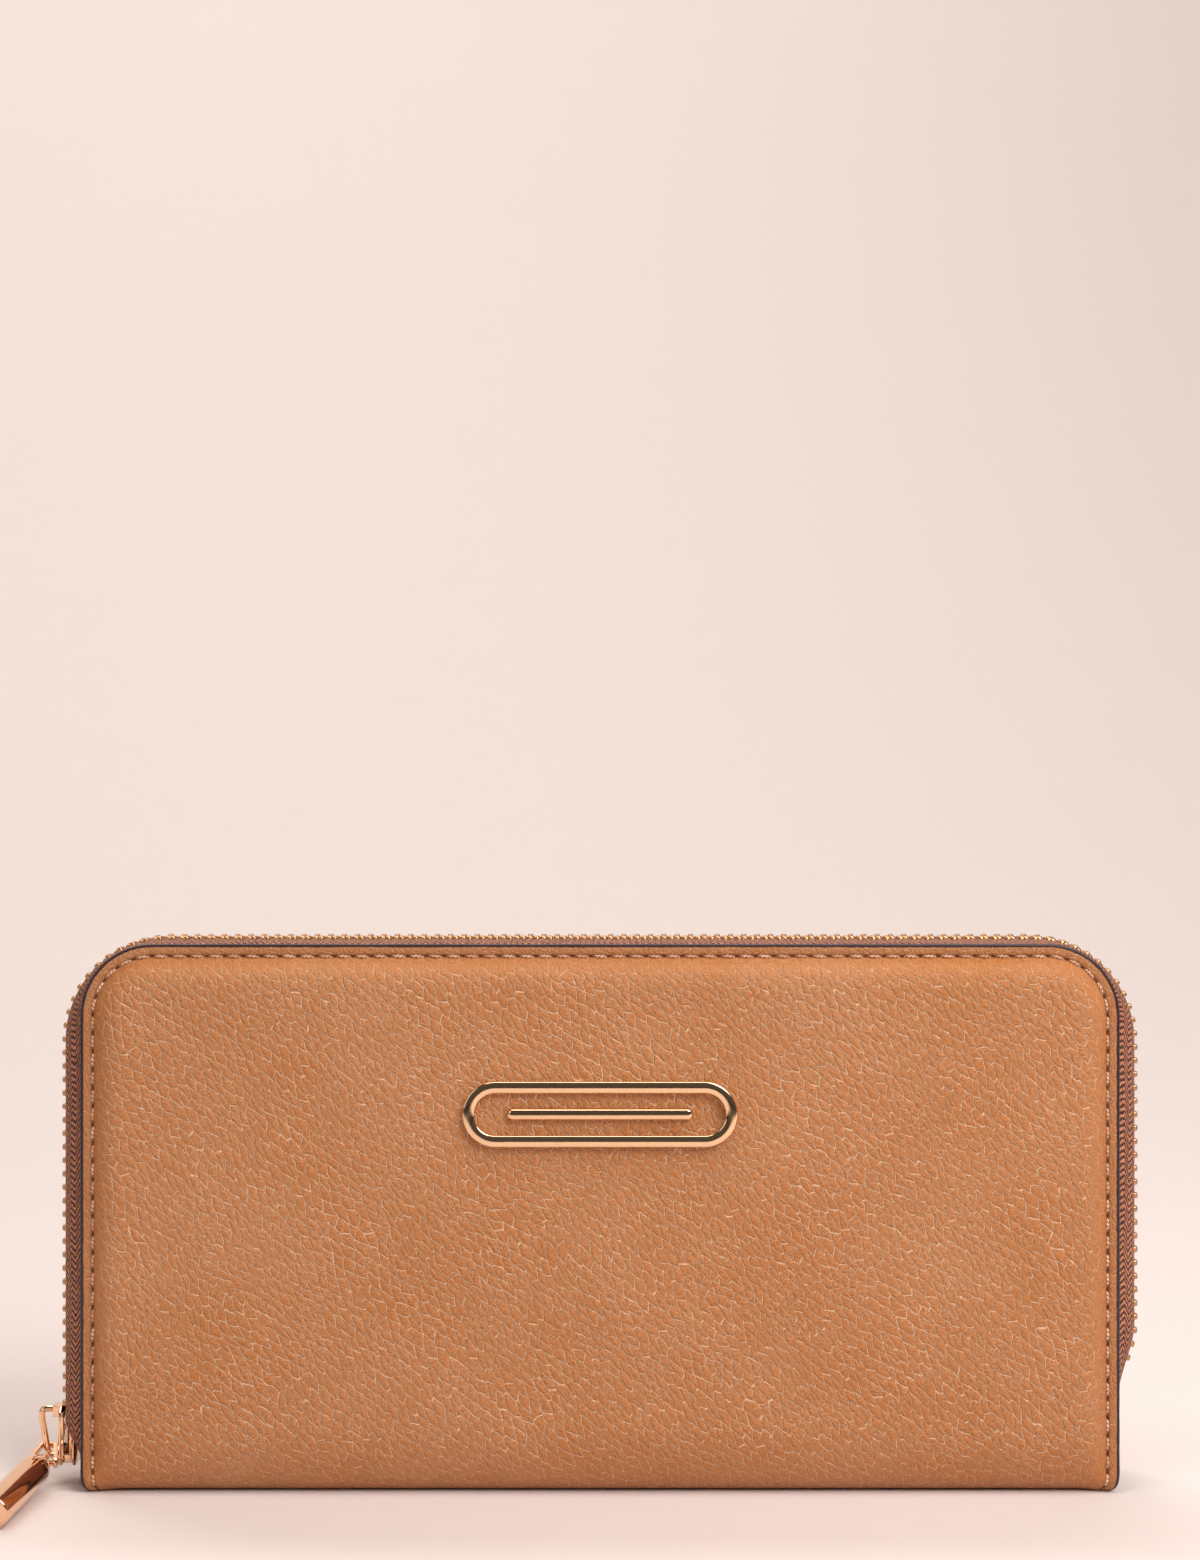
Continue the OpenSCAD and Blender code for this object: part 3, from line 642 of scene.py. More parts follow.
class Skin:
    """Points of the hide with what its material reads at each."""

    def __init__(self):
        self.points, self.grain, self.amount, self.groove_shade = [], [], [], []

    def put(self, x, u, z, grain, amount, groove_shade=0.0):
        self.points.append((x, u, z))
        self.grain.append(grain)
        self.amount.append(amount)
        self.groove_shade.append(groove_shade)
        return len(self.points) - 1


BORDER_GRAIN, BORDER_SCALE, LEAST_GRAIN = 0.75, 1.7, 0.12
# Painted shade in the stitch groove: how dark along the groove, how much darker at each needle hole, and its
# width
DARK_GROOVE, DARK_HOLE, DARK_W = 0.22, 0.7, 0.21
GRAIN_START, GRAIN_END = STITCH_INSET + 0.4, STITCH_INSET + 5.4


def skin_values(run, inset, x, z):
    """Grain place, strength and painted groove shade at a point on the hide."""
    groove = hill(inset, STITCH_INSET, DARK_W)
    groove_shade = groove * (DARK_GROOVE + DARK_HOLE * hole_near(run))
    if inset < STITCH_INSET:
        return (x * BORDER_SCALE, z * BORDER_SCALE, 40.0), BORDER_GRAIN * (1 - groove), groove_shade
    rise = smooth(part_way(inset, GRAIN_START, GRAIN_END))
    return (x, z, 0.0), LEAST_GRAIN + (1 - LEAST_GRAIN) * rise, groove_shade


def coons(left, right, bottom, top):
    """Fills the area between four lines of points that share their corners, row by row."""
    rows, columns = len(left), len(bottom)
    v = np.linspace(0, 1, rows)[:, None, None]
    u = np.linspace(0, 1, columns)[None, :, None]
    across = (1 - u) * left[:, None] + u * right[:, None]
    upward = (1 - v) * bottom[None] + v * top[None]
    corners = ((1 - u) * (1 - v) * bottom[0] + u * (1 - v) * bottom[-1]
               + (1 - u) * v * top[0] + u * v * top[-1])
    return across + upward - corners


def between(grid, turned=False):
    """Faces between the rows of a grid of point numbers."""
    faces = [(a, b, c, d) for low, high in zip(grid, grid[1:])
             for a, b, c, d in zip(low, low[1:], high[1:], high)]
    return [face[::-1] for face in faces] if turned else faces


def border_ring(skin):
    """Rows of points from the cut edge over the stitch line and up the pillow's slope."""
    ring, insets = [], border_insets()
    for k in range(EDGE_STEPS + 1):
        row = []
        for inset in insets:
            x, u, z = edge_point(k * STEP, inset, 0)
            u += border_lift(k * STEP, inset) + pillow(inset) * (PANEL_U - FACE_U + swell(x, z))
            row.append(skin.put(x, u, z, *skin_values(k * STEP, inset, x, z)))
        ring.append(row)
    return ring


def panel_sheet(skin, ring):
    """The panel inside the ring."""
    corner = round((SIDE_L + ARC_L / 2) / STEP)
    inner = [np.array(skin.points[row[-1]])[[0, 2]] for row in ring]
    left, right = np.array(inner[:corner + 1]), np.array(inner[:EDGE_STEPS - corner - 1:-1])
    top = np.array(inner[corner:EDGE_STEPS - corner + 1])
    spread = (top[:, 0] - top[0, 0]) / (top[-1, 0] - top[0, 0])
    middle = coons(left, right, left[0] + spread[:, None] * (right[0] - left[0]), top)
    rows, columns = middle.shape[:2]
    sheet = [[ring[i][-1]] + [None] * (columns - 2) + [ring[EDGE_STEPS - i][-1]] for i in range(rows)]
    sheet[-1] = [ring[corner + j][-1] for j in range(columns)]
    for i in range(rows - 1):
        for j in range(1, columns - 1):
            x, z = middle[i, j]
            sheet[i][j] = skin.put(x, PANEL_U + swell(x, z), z, (x, z, 0.0), 1.0)
    return sheet


def bottom_strip(skin, edge_row):
    """From the cover's lower edge round the fold to the middle of the spine."""
    strip = [edge_row]
    for (u_panel, z_panel), below in zip(PANEL_BOTTOM, BOTTOM_RUNS):
        row = []
        flat_z = SKIN_TOP_OF_FOLD - below / BOTTOM_RUNS[-1] * PANEL_LENGTH
        fade = part_way(z_panel, -2, SKIN_TOP_OF_FOLD - 2)
        for index in edge_row:
            x = skin.points[index][0]
            inset = HALF_W - abs(x)
            (u_face, z_face), out = face_curve(below)
            lift = border_lift(-below, inset) if inset < PILLOW_END else 0
            rise = pillow(inset)
            u = u_face + out[0] * lift + rise * (u_panel - u_face + swell(x, z_panel) * fade)
            z = z_face + out[1] * lift + rise * (z_panel - z_face)
            grain, amount, groove_shade = skin_values(-below, inset, x, flat_z)
            x *= 1 - foot_pull(below) / HALF_W
            row.append(skin.put(x, u, max(z, 0.0), grain, amount * (0.25 + 0.75 * fade), groove_shade))
        strip.append(row)
    return strip


def cover_skin(side):
    """One half of the outer hide, as a closed sheet: the padded cover with its stitched border, the
    fold at its foot and half of the spine."""
    skin = Skin()
    ring = border_ring(skin)
    sheet = panel_sheet(skin, ring)
    strip = bottom_strip(skin, ring[0] + sheet[0][1:-1] + ring[-1][::-1])
    faces = between(ring, turned=True) + between(sheet) + between(strip, turned=True)
    rim = [row[0] for row in strip[:0:-1]] + [row[0] for row in ring] + [row[-1] for row in strip[1:]]
    inside = [skin.put(*edge_point(run, 0.0, -LEATHER_T), (0.0, 0.0, 80.0), 0.0) for run in edge_runs()]
    faces += [(a, c, d, b) for a, b, c, d in zip(rim, rim[1:], inside, inside[1:])]
    low = len(BOTTOM_RUNS)
    faces.append(tuple(inside[low:len(inside) - low]))
    faces += [(inside[k + 1], inside[k], inside[-1 - k], inside[-2 - k]) for k in range(low)]
    faces.append(tuple(strip[-1]) + (inside[-1], inside[0]))
    points = [(x, side * u, z) for x, u, z in skin.points]
    if side == FRONT:
        faces = [face[::-1] for face in faces]
    made = mesh_object(f"{SIDE_NAME[side]}_hide", points, faces, HIDE)
    for name in ("grain", "amount", "groove_shade"):
        point_values(made, name, getattr(skin, name))
    return made


def across_fold(made, side, slot, *nodes):
    """Hides the CAD nodes that a piece of a cover stands for, where the piece bends round the fold and onto
    the spine, and bakes its place into its mesh.
    """
    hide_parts(*nodes)
    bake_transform(made)


DOME_HIGH, DOME_LOW = 0.11 * MM, -0.07 * MM


def hide_relief():
    """A geometry tree that raises the hide's larger cells, from the same pattern as the material."""
    tree = bpy.data.node_groups.new("hide relief", "GeometryNodeTree")
    tree.interface.new_socket("Geometry", in_out="INPUT", socket_type="NodeSocketGeometry")
    tree.interface.new_socket("Geometry", in_out="OUTPUT", socket_type="NodeSocketGeometry")
    start, finish = tree.nodes.new("NodeGroupInput"), tree.nodes.new("NodeGroupOutput")
    grain = add_node(tree, "GeometryNodeInputNamedAttribute", {"Name": "grain"}, data_type="FLOAT_VECTOR")
    amount = add_node(tree, "GeometryNodeInputNamedAttribute", {"Name": "amount"}, data_type="FLOAT")
    cell, _ = pebbles(tree, grain.outputs[0])
    dome = add_node(tree, "ShaderNodeMapRange", {0: cell, 2: 0.34}, interpolation_type="SMOOTHSTEP")
    lift = scaled_sum(tree, dome.outputs[0], DOME_HIGH, DOME_LOW)
    lift = product(tree, lift, amount.outputs[0])
    normal = tree.nodes.new("GeometryNodeInputNormal")
    offset = add_node(tree, "ShaderNodeVectorMath", {0: normal.outputs[0], "Scale": lift}, operation="SCALE")
    move = add_node(tree, "GeometryNodeSetPosition",
                    {"Geometry": start.outputs[0], "Offset": offset.outputs[0]})
    tree.links.new(move.outputs[0], finish.inputs[0])
    return tree


RELIEF = hide_relief()


def outer_hide(side):
    name = SIDE_NAME[side]
    made = cover_skin(side)
    use_modifier(made, "NODES", node_group=RELIEF)
    across_fold(made, side, "leather", f"{name}_leather", f"{name}_fold_leather", f"{name}_padding")
    return made


hides = {side: outer_hide(side) for side in (FRONT, BACK)}
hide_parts("spine_leather")


# ---- Stitching and painted edges ----

def edge_paint(side):
    """The painted bead that wraps the cut edge, from the spine round the cover and back."""
    name = SIDE_NAME[side]
    sides, points, rough = 14, [], random.Random(side + 3)
    uneven = 0.0
    for run in edge_runs(every=2):
        uneven = 0.8 * uneven + rough.uniform(-0.02, 0.02)
        for angle in turns(sides):
            wide, thick = squared(math.cos(angle), 0.7), squared(math.sin(angle), 0.6)
            inset = PAINT_W / 2 - 0.08 + (PAINT_W / 2 + 0.10 + uneven) * wide
            lift = -LEATHER_T / 2 - 0.02 + (LEATHER_T / 2 + 0.08 + uneven / 2) * thick
            x, u, z = edge_point(run, inset, lift)
            points.append((x, side * u, max(z, 0.0)))
    faces = tube_faces(len(points) // sides, sides)
    made = mesh_object(f"{name}_painted_edge", points, faces, PAINT)
    across_fold(made, side, "edge_paint", f"{name}_edge_paint")


LOOP_STEPS, LOOP_SIDES, TWIST = 11, 8, 0.35
LOOP_START, LOOP_SHARE = 0.14, 0.72
LOOP_SUNK, LOOP_RISE, LOOP_TILT = 0.62, 0.56, 0.07
THREAD_R, THREAD_SWELL = 0.17, 0.12


def stitching(side):
    """Every stitch is its own loop of thread, dipping into a needle hole at each end."""
    name = SIDE_NAME[side]
    loops, twist = Parts(), []
    lowest = -math.floor((DROP_L + FOLD_L) / PITCH)
    loose = random.Random(side + 11)
    for k in range(lowest, EDGE_STEPS // STEPS_PER_STITCH - lowest):
        tilt = LOOP_TILT + loose.uniform(-0.03, 0.03)
        tone = loose.uniform(0.2, 1.0)
        rise = LOOP_RISE + loose.uniform(-0.04, 0.05)
        centres, radii = [], []
        for i in range(LOOP_STEPS):
            t = i / (LOOP_STEPS - 1)
            arch = math.sin(math.pi * t) ** 0.6
            run = (k + LOOP_START + LOOP_SHARE * t) * PITCH
            x, u, z = edge_point(run, STITCH_INSET + tilt * (2 * t - 1), rise * arch - LOOP_SUNK)
            centres.append((x, side * u, z))
            radii.append(THREAD_R + THREAD_SWELL * arch)
            twist += [i * TWIST + j / LOOP_SIDES for j in range(LOOP_SIDES)]
        loops.tube(centres, radii, LOOP_SIDES, tone)
    made = loops.object(f"{name}_stitch_loops", THREAD)
    point_values(made, "twist", twist)
    across_fold(made, side, "thread", f"{name}_stitching")


# ---- Zip tapes and teeth ----

CHAIN_FOOT = tape_low[2]
CHAIN_TOP = tape_high[2] - TEETH_PROUD
SIDE_RUN = CHAIN_TOP - CHAIN_R
CHAIN_ARC = CHAIN_R * math.pi / 2
CHAIN_L = 2 * (SIDE_RUN + CHAIN_ARC + CHAIN_HALF - CHAIN_R)
TUCK_END = 13.0
# How far each end of the zip tucks in, from which height to which, and whether its teeth lean with it
TUCKS = {-1: (3.9, 12.0, CHAIN_FOOT, 0), 1: (4.2, 30.0, TUCK_END, 1)}
FIRST_TOOTH = 15.1
LAST_TOOTH = CHAIN_L - 19.3
TEETH = math.floor((LAST_TOOTH - FIRST_TOOTH) / TOOTH_PITCH)


def chain_point(run):
    """The zip's middle line (x, z) and its outward direction. It starts on the left at Z=0, goes over
    the top and down the right, and its ends tuck in between the covers."""
    sign = -1 if run < CHAIN_L / 2 else 1
    run = min(run, CHAIN_L - run)
    if run < SIDE_RUN:
        depth, high, low, leans = TUCKS[sign]
        t = part_way(run, high, low)
        slope = leans * depth * 6 * t * (1 - t) / (high - low)
        return (np.array([sign * (CHAIN_HALF - depth * smooth(t)), run]),
                np.array([sign, -slope]) / math.hypot(1, slope))
    place, out_way = bent_line(run, (CHAIN_HALF, 0), UP, SIDE_RUN, CHAIN_R)
    return place * (sign, 1), out_way * (sign, 1)


def outline_for(run):
    """The cover's edge point that the tape leaves for a point on the chain."""
    (x, z), out_way = chain_point(run)
    sign = math.copysign(1, x)
    run = min(run, CHAIN_L - run)
    if run < SIDE_RUN:
        return np.array([sign * HALF_W, z * (TOP - CORNER_R) / SIDE_RUN]), np.array([sign, 0.0])
    if run < SIDE_RUN + CHAIN_ARC:
        return np.array([sign * (HALF_W - CORNER_R), TOP - CORNER_R]) + CORNER_R * out_way, out_way
    return np.array([x * (HALF_W - CORNER_R) / (CHAIN_HALF - CHAIN_R), TOP]), out_way


TAPE_T, TAPE_STEP, TAPE_COLUMN = 0.42, 0.8, 0.55
CORD_EXTRA, CORD_COLUMNS = 0.35, 3
RIPPLES = ((0.10, 6.1), (0.07, 2.7))
# From the seam to the cord: share of the way to the chain, distance out and u
TAPE_LINE = resampled([(0, -1.6, 7.75), (0, -0.5, 7.72), (0.05, 0, 7.35), (0.38, 0, 6.5), (0.70, 0, 5.4),
                       (0.87, 0, 4.5), (0.98, 0, 3.2), (1, 0, 1.95)], np.linspace(0, 1, 19))


def zip_tape(side):
    """One woven tape: sewn in behind the cover's edge, then out to the row of teeth, where its edge
    thickens into a cord."""
    name = SIDE_NAME[side]
    runs = np.arange(CHAIN_FOOT, CHAIN_L - TUCK_END, TAPE_STEP)
    wave = random.Random(side + 21)
    phases = [wave.uniform(0, 6) for _ in RIPPLES]
    columns = len(TAPE_LINE)
    outer, inner, weave = [], [], []
    for run in runs:
        edge, edge_out = outline_for(run)
        chain, chain_out = chain_point(run)
        ripple = sum(size * math.sin(run / spread + phase)
                     for (size, spread), phase in zip(RIPPLES, phases))
        line = []
        for share, out, u in TAPE_LINE:
            share_out = (1 - share) * edge_out + share * chain_out
            flat = (1 - share) * edge + share * chain + out * edge_out
            flat = flat + share_out * ripple * 4 * share * (1 - share)
            line.append((flat[0], u, flat[1], *share_out))
        line = np.array(line)
        step = np.gradient(line[:, :3], axis=0)
        for j in range(columns):
            tangent = step[j] / np.linalg.norm(step[j])
            out_way = np.array([line[j, 3], 0, line[j, 4]])
            normal = out_way - tangent * np.dot(out_way, tangent)
            if np.linalg.norm(normal) < 0.3:
                normal = np.array([0, 1.0, 0])
            normal /= np.linalg.norm(normal)
            thick = TAPE_T * (0.5 + (CORD_EXTRA if j >= columns - CORD_COLUMNS else 0))
            for store, way in ((outer, 1), (inner, -1)):
                x, u, z = line[j, :3] + way * thick * normal
                store.append((x, side * u, z))
        weave += [(run, j * TAPE_COLUMN, 0.0) for j in range(columns)]
    made = mesh_object(f"{name}_woven_tape", outer + inner, sheet_faces(len(runs), columns), TAPE)
    point_values(made, "weave", weave + weave)
    settle(made, "zip_tape", f"{name}_cover", f"{name}_zip_tape")


# From the cord to the head: u, half width along the zip and half height outwards
TOOTH_RINGS = [(3.35, 0.34, 0.62), (3.2, 0.50, 0.80), (2.5, 0.58, 0.92), (1.8, 0.56, 0.90),
               (1.35, 0.40, 0.66), (0.9, 0.42, 0.62), (0.3, 0.56, 0.74), (-0.25, 0.56, 0.74),
               (-0.62, 0.42, 0.55), (-0.72, 0.2, 0.3)]
TOOTH_TALL = 2 * max(half_out for _, _, half_out in TOOTH_RINGS)
TOOTH_SIDES, TOOTH_SQUARE = 12, 0.45


def tooth(parts, centre, along, out, side, tone, scale=1.0, depth=1.0):
    """A metal tooth clamped over the tape's cord, with a waist and a rounded head."""
    centre, along, out = (np.array(v, float) for v in (centre, along, out))
    points = []
    for u, half_along, half_out in TOOTH_RINGS:
        for angle in turns(TOOTH_SIDES, 0.5):
            points.append(centre + (0, side * u * depth, 0)
                          + half_along * scale * squared(math.cos(angle), TOOTH_SQUARE) * along
                          + half_out * scale * squared(math.sin(angle), TOOTH_SQUARE) * out)
    parts.add(points, tube_faces(len(TOOTH_RINGS), TOOTH_SIDES), tone)


def teeth(side):
    name = SIDE_NAME[side]
    row = Parts()
    shift = 0.0 if side == FRONT else TOOTH_PITCH / 2
    for k in range(TEETH):
        (x, z), (out_x, out_z) = chain_point(FIRST_TOOTH + shift + k * TOOTH_PITCH)
        tooth(row, (x, 0, z), (out_z, 0, -out_x), (out_x, 0, out_z), side, rng.uniform(0, 1))
    made = row.object(f"{name}_teeth", TOOTH_GOLD)
    settle(made, "tooth_gold", f"{name}_cover", f"{name}_zip_teeth", f"{name}_zip_teeth_left")
    stop = softened(f"{name}_zip_stop", f"{name}_stop", 0.25, TOOTH_GOLD)
    settle(stop, "tooth_gold", f"{name}_cover")


for side in (FRONT, BACK):
    edge_paint(side)
    stitching(side)
    zip_tape(side)
    teeth(side)


# ---- Slider and pull ----

for node, name, width, body in (("slider_body", "slider_shell", 0.22, "slider"),
                                ("slider_lock_spring", "slider_spring", 0.05, "slider"),
                                ("pull_link", "link_loop", 0.16, "link"),
                                ("coin_slider_body", "coin_slider_shell", 0.18, "coin_slider"),
                                ("coin_pull_tab", "coin_tab_plate", 0.15, "coin_tab")):
    settle(softened(node, name, width, ROSE_GOLD), "polished_gold", body)


# The arch's middle line from the top lug to the bottom one: out and up from the link's axis
ARCH_LINE = [(-2.0, 7.2), (-1.1, 7.45), (0.0, 7.5), (0.72, 7.3), (1.02, 6.7), (1.0, 5.7), (0.72, 4.2),
             (0.4, 2.4), (0.08, 0.4), (-0.1, -0.6), (-0.5, -1.15), (-1.2, -1.3), (-2.1, -1.3)]
ARCH_HALF = 0.55
ARCH_SQUASH = 1.1
ARCH_SIDES = 20


def eased(points):
    """A line of points with its corners cut three times."""
    points = np.array(points, float)
    for _ in range(3):
        first, second = points[:-1], points[1:]
        pairs = np.stack([0.75 * first + 0.25 * second, 0.25 * first + 0.75 * second], axis=1)
        points = np.vstack([points[:1], pairs.reshape(-1, 3), points[-1:]])
    return points


def arch():
    """The slider's arch: one bent rod from lug to lug, which the link hangs on."""
    path = eased([HINGES["link_turn"] + np.array([-out, 0, up]) for out, up in ARCH_LINE])
    parts = Parts()
    parts.tube(path, [ARCH_HALF] * len(path), ARCH_SIDES, squash=ARCH_SQUASH)
    made = parts.object("slider_arch", ROSE_GOLD)
    made.data.set_sharp_from_angle(angle=METAL_EDGE)
    settle(made, "polished_gold", "slider", "slider_bridge")


# Along the barrel from the link's pin, and radius; the nose first
NOSE = [(1.25, 0.02), (1.25, 1.15), (1.4, 1.45), (1.75, 1.85), (2.3, 2.25), (3.0, 2.6), (3.9, 2.84)]
# Back from the far end, and in from the radius: the rolled rim, then the sunk cap
RIM = [(0.45, 0.03), (0.2, 0.12), (0.05, 0.28), (0, 0.45), (0.05, 0.58), (0.25, 0.66), (0.42, 0.68),
       (0.47, 0.85), (0.42, 1.1)]
CAP = [(0.36, 0.9), (0.34, 0.02)]
RIM_W = 0.6
BARREL_START, BARREL_SHORT, BARREL_RINGS, BARREL_SIDES = 5.8, 6.6, 12, 72


def barrel():
    """The cast barrel: an eyelet for the link's pin, a bullet nose, a long polished body and a
    rolled rim round its end cap."""
    cap_low, cap_high = box_mm("pull_end_cap")
    pin, end = HINGES["pull_swing"], (cap_low + cap_high) / 2
    x = (end - pin) / np.linalg.norm(end - pin)
    y = np.array([x[1], -x[0], 0.0])
    y /= np.linalg.norm(y)
    z = np.cross(x, y)
    radius = (cap_high[2] - cap_low[2]) / 2 + RIM_W
    length = np.linalg.norm(end - pin) + 0.25
    profile = NOSE + [(5.0, radius - 0.02), (BARREL_START, radius)]
    profile += [(BARREL_START + (length - BARREL_SHORT) * k / BARREL_RINGS, radius)
                for k in range(1, BARREL_RINGS + 1)]
    profile += [(length - back, radius - inward) for back, inward in RIM]
    profile += [(length - back, r) for back, r in CAP]
    parts = Parts()
    points = [pin + along * x + r * (math.cos(angle) * y + math.sin(angle) * z)
              for along, r in profile for angle in turns(BARREL_SIDES)]
    parts.add(points, tube_faces(len(profile), BARREL_SIDES))
    eyelet(parts, pin, x, y, z)
    made = parts.object("barrel_body", ROSE_GOLD)
    made.data.set_sharp_from_angle(angle=METAL_EDGE)
    settle(made, "polished_gold", "barrel", "pull_barrel", "pull_end_cap")


def eyelet(parts, pin, x, y, z):
    """A flat ring round the link's pin, running into the barrel's nose."""
    hole, outer, half, bevel, steps = 0.95, 1.45, 1.0, 0.18, 40
    section = [(hole, -half + bevel), (hole + bevel, -half), (outer - bevel, -half), (outer, -half + bevel),
               (outer, half - bevel), (outer - bevel, half), (hole + bevel, half), (hole, half - bevel)]
    points = []
    for angle in turns(steps):
        out = math.cos(angle) * x + math.sin(angle) * z
        stretch = 1 + 0.35 * max(math.cos(angle), 0) ** 6
        for r, w in section:
            points.append(pin + (r if r < outer - bevel else r * stretch) * out + w * y)
    parts.add(points, grid_faces(steps, len(section), wrap_rows=True, wrap_columns=True))


arch()
barrel()


# ---- Emblem ----

SHOULDER_R, SHOULDER_STEPS = 0.42, 5
BAND_CROWN = 0.08


def band(parts, path, outs, half_w, low_u, high_u):
    """A closed ring with rounded shoulders laid along a path on the front panel. outs is each
    point's sideways direction (x, z)."""
    section = [(half_w - 0.04, low_u)]
    for angle in np.linspace(0, math.pi / 2, SHOULDER_STEPS + 1):
        section.append((half_w - SHOULDER_R * (1 - math.cos(angle)),
                        high_u - SHOULDER_R * (1 - math.sin(angle))))
    section += [(half_w * 0.45, high_u + BAND_CROWN * 0.7), (0, high_u + BAND_CROWN)]
    section += [(-w, u) for w, u in section[-2::-1]]
    points = [(x + w * out_x, -u, z + w * out_z) for (x, z), (out_x, out_z) in zip(path, outs)
              for w, u in section]
    parts.add(points, grid_faces(len(path), len(section), wrap_rows=True, wrap_columns=True))


def stadium(centre_z, half_l, radius):
    """A closed path round a stadium, with its sideways directions."""
    path, outs = [], []
    for sign in (1, -1):
        for angle in np.linspace(-math.pi / 2, math.pi / 2, 49):
            out = np.array([sign * math.cos(angle), sign * math.sin(angle)])
            path.append(np.array([sign * half_l, centre_z]) + radius * out)
            outs.append(out)
    return path, outs


BAND_W = 2.2
EMBLEM_SUNK = 0.2
BAR_STEPS, BAR_SECTION = 9, 18


def bar(parts, centre_z, reach, half, low_u, high_u):
    """A straight bar with domed ends; half is half its height."""
    ends = np.linspace(-math.pi / 2, 0, BAR_STEPS)
    rings = [(half * math.sin(angle) - reach, max(half * math.cos(angle), 0.12)) for angle in ends]
    rings += [(-x, half_w) for x, half_w in rings[::-1]]
    points = []
    for x, half_w in rings:
        tall = 0.35 + 0.65 * half_w / half
        for angle in np.linspace(0, math.pi, BAR_SECTION):
            u = low_u + (high_u - low_u) * tall * max(math.sin(angle), 0) ** 0.45
            points.append((x, -u, centre_z + half_w * squared(math.cos(angle), 0.6)))
    parts.add(points, tube_faces(len(rings), BAR_SECTION))


def emblem():
    """A stadium ring round a bar, polished, standing on the front panel on prongs."""
    for node, name in (("emblem_ring", "emblem_band"), ("emblem_bar", "emblem_inner_bar")):
        low, high = box_mm(node)
        half, centre_z = (high[2] - low[2]) / 2, (high[2] + low[2]) / 2
        reach, base_u, top_u = high[0] - half, PANEL_U - EMBLEM_SUNK, -low[1]
        parts = Parts()
        if node == "emblem_ring":
            band(parts, *stadium(centre_z, reach, half - BAND_W / 2), BAND_W / 2, base_u, top_u)
        else:
            bar(parts, centre_z, reach, half, base_u, top_u)
        made = parts.object(name, EMBLEM_GOLD)
        made.data.set_sharp_from_angle(angle=METAL_EDGE)
        settle(made, "polished_gold", "front_cover", node)


emblem()


# ---- Inside ----

def dressed(node, name, width, material, slot, body):
    """A softened copy of a CAD node, with the place on it that the woven material reads."""
    made = softened(node, name, width, material, 2)
    places = np.array([vertex.co for vertex in made.data.vertices]) / MM
    point_values(made, "weave", places[:, (0, 2, 1)] * (1, 1, 0))
    settle(made, slot, body)


SEAM_PITCH, SEAM_RADIUS, SEAM_RISE, SEAM_SUNK = 3.1, 0.17, 0.12, 0.1


def seam(parts, start, finish, out):
    """A straight line of stitches lying on a surface; out is the surface's outward direction."""
    start, finish, out = (np.array(v, float) for v in (start, finish, out))
    length = np.linalg.norm(finish - start)
    along = (finish - start) / length
    shares = np.linspace(0, 1, 7)
    arch = np.sin(math.pi * shares) ** 0.6
    for k in range(int(length / SEAM_PITCH)):
        centres = [start + along * SEAM_PITCH * (k + 0.12 + 0.76 * t) + out * (SEAM_RISE * rise - SEAM_SUNK)
                   for t, rise in zip(shares, arch)]
        parts.tube(centres, SEAM_RADIUS * (0.6 + 0.4 * arch), 6, rng.uniform(0.2, 1), up=tuple(out))


def card_strips(side):
    """Four overlapping card slots with a stitched top edge and a seam up the middle."""
    name = SIDE_NAME[side]
    stitches = Parts()
    out = (0, -side, 0)
    for index in (1, 2, 3, 4):
        node = f"{name}_card_strip_{index}"
        dressed(node, f"{name}_card_slot_{index}", 0.12, TRIM, "trim_leather", f"{name}_cover")
        low, high = box_mm(node)
        y = high[1] if side == FRONT else low[1]
        top = high[2] - 1.8
        seam(stitches, (low[0] + 2, y, top), (high[0] - 2, y, top), out)
        floor = low[2] + 1.5 if index == 4 else top - 9.5
        seam(stitches, (0, y, top - 1), (0, y, max(floor, low[2] + 1.5)), out)
    made = stitches.object(f"{name}_slot_stitches", THREAD)
    point_values(made, "twist", np.linspace(0, 1, len(stitches.points)) * 900)
    settle(made, "thread", f"{name}_cover")


def gusset(side, hand):
    """A pleated fan of lining cloth that closes one end between the coin pocket and a cover."""
    name = f"{SIDE_NAME[side]}_{'left' if hand < 0 else 'right'}_gusset"
    low, high = box_mm(name)
    x_in, x_out = min(abs(low[0]), abs(high[0])), max(abs(low[0]), abs(high[0]))
    near, far = sorted((abs(low[1]), abs(high[1])))
    pleats = [(x_in + 3, near + 0.15), (x_out - 1, near + 0.3), (x_out, near + 0.7), (x_in + 1, near + 1.0),
              (x_in, near + 1.35), (x_out - 1, near + 1.7), (x_out, near + 2.1), (x_in + 3, far - 0.2)]
    pleats = [(x, min(u, far - 0.1)) for x, u in pleats]
    line = resampled(pleats, np.linspace(0, 1, 64))
    heights = np.linspace(low[2], high[2], 26)
    thick, outer, inner = 0.16, [], []
    for z in heights:
        share = (z - low[2]) / (high[2] - low[2])
        wave = 0.05 * math.sin(z / 3.7)
        for j, (x, u) in enumerate(line):
            x = x - (x - x_in) * 0.22 * (1 - share)
            fold = wave * math.sin(j / 3)
            outer.append((hand * x, side * (u + fold + thick / 2), z))
            inner.append((hand * x, side * (u + fold - thick / 2), z))
    faces = sheet_faces(len(heights), len(line))
    made = mesh_object(name.replace("gusset", "fan"), outer + inner, faces, LINING)
    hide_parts(name)
    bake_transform(made)


COIN_DEPTH, COIN_FIRST = 0.8, 0.55


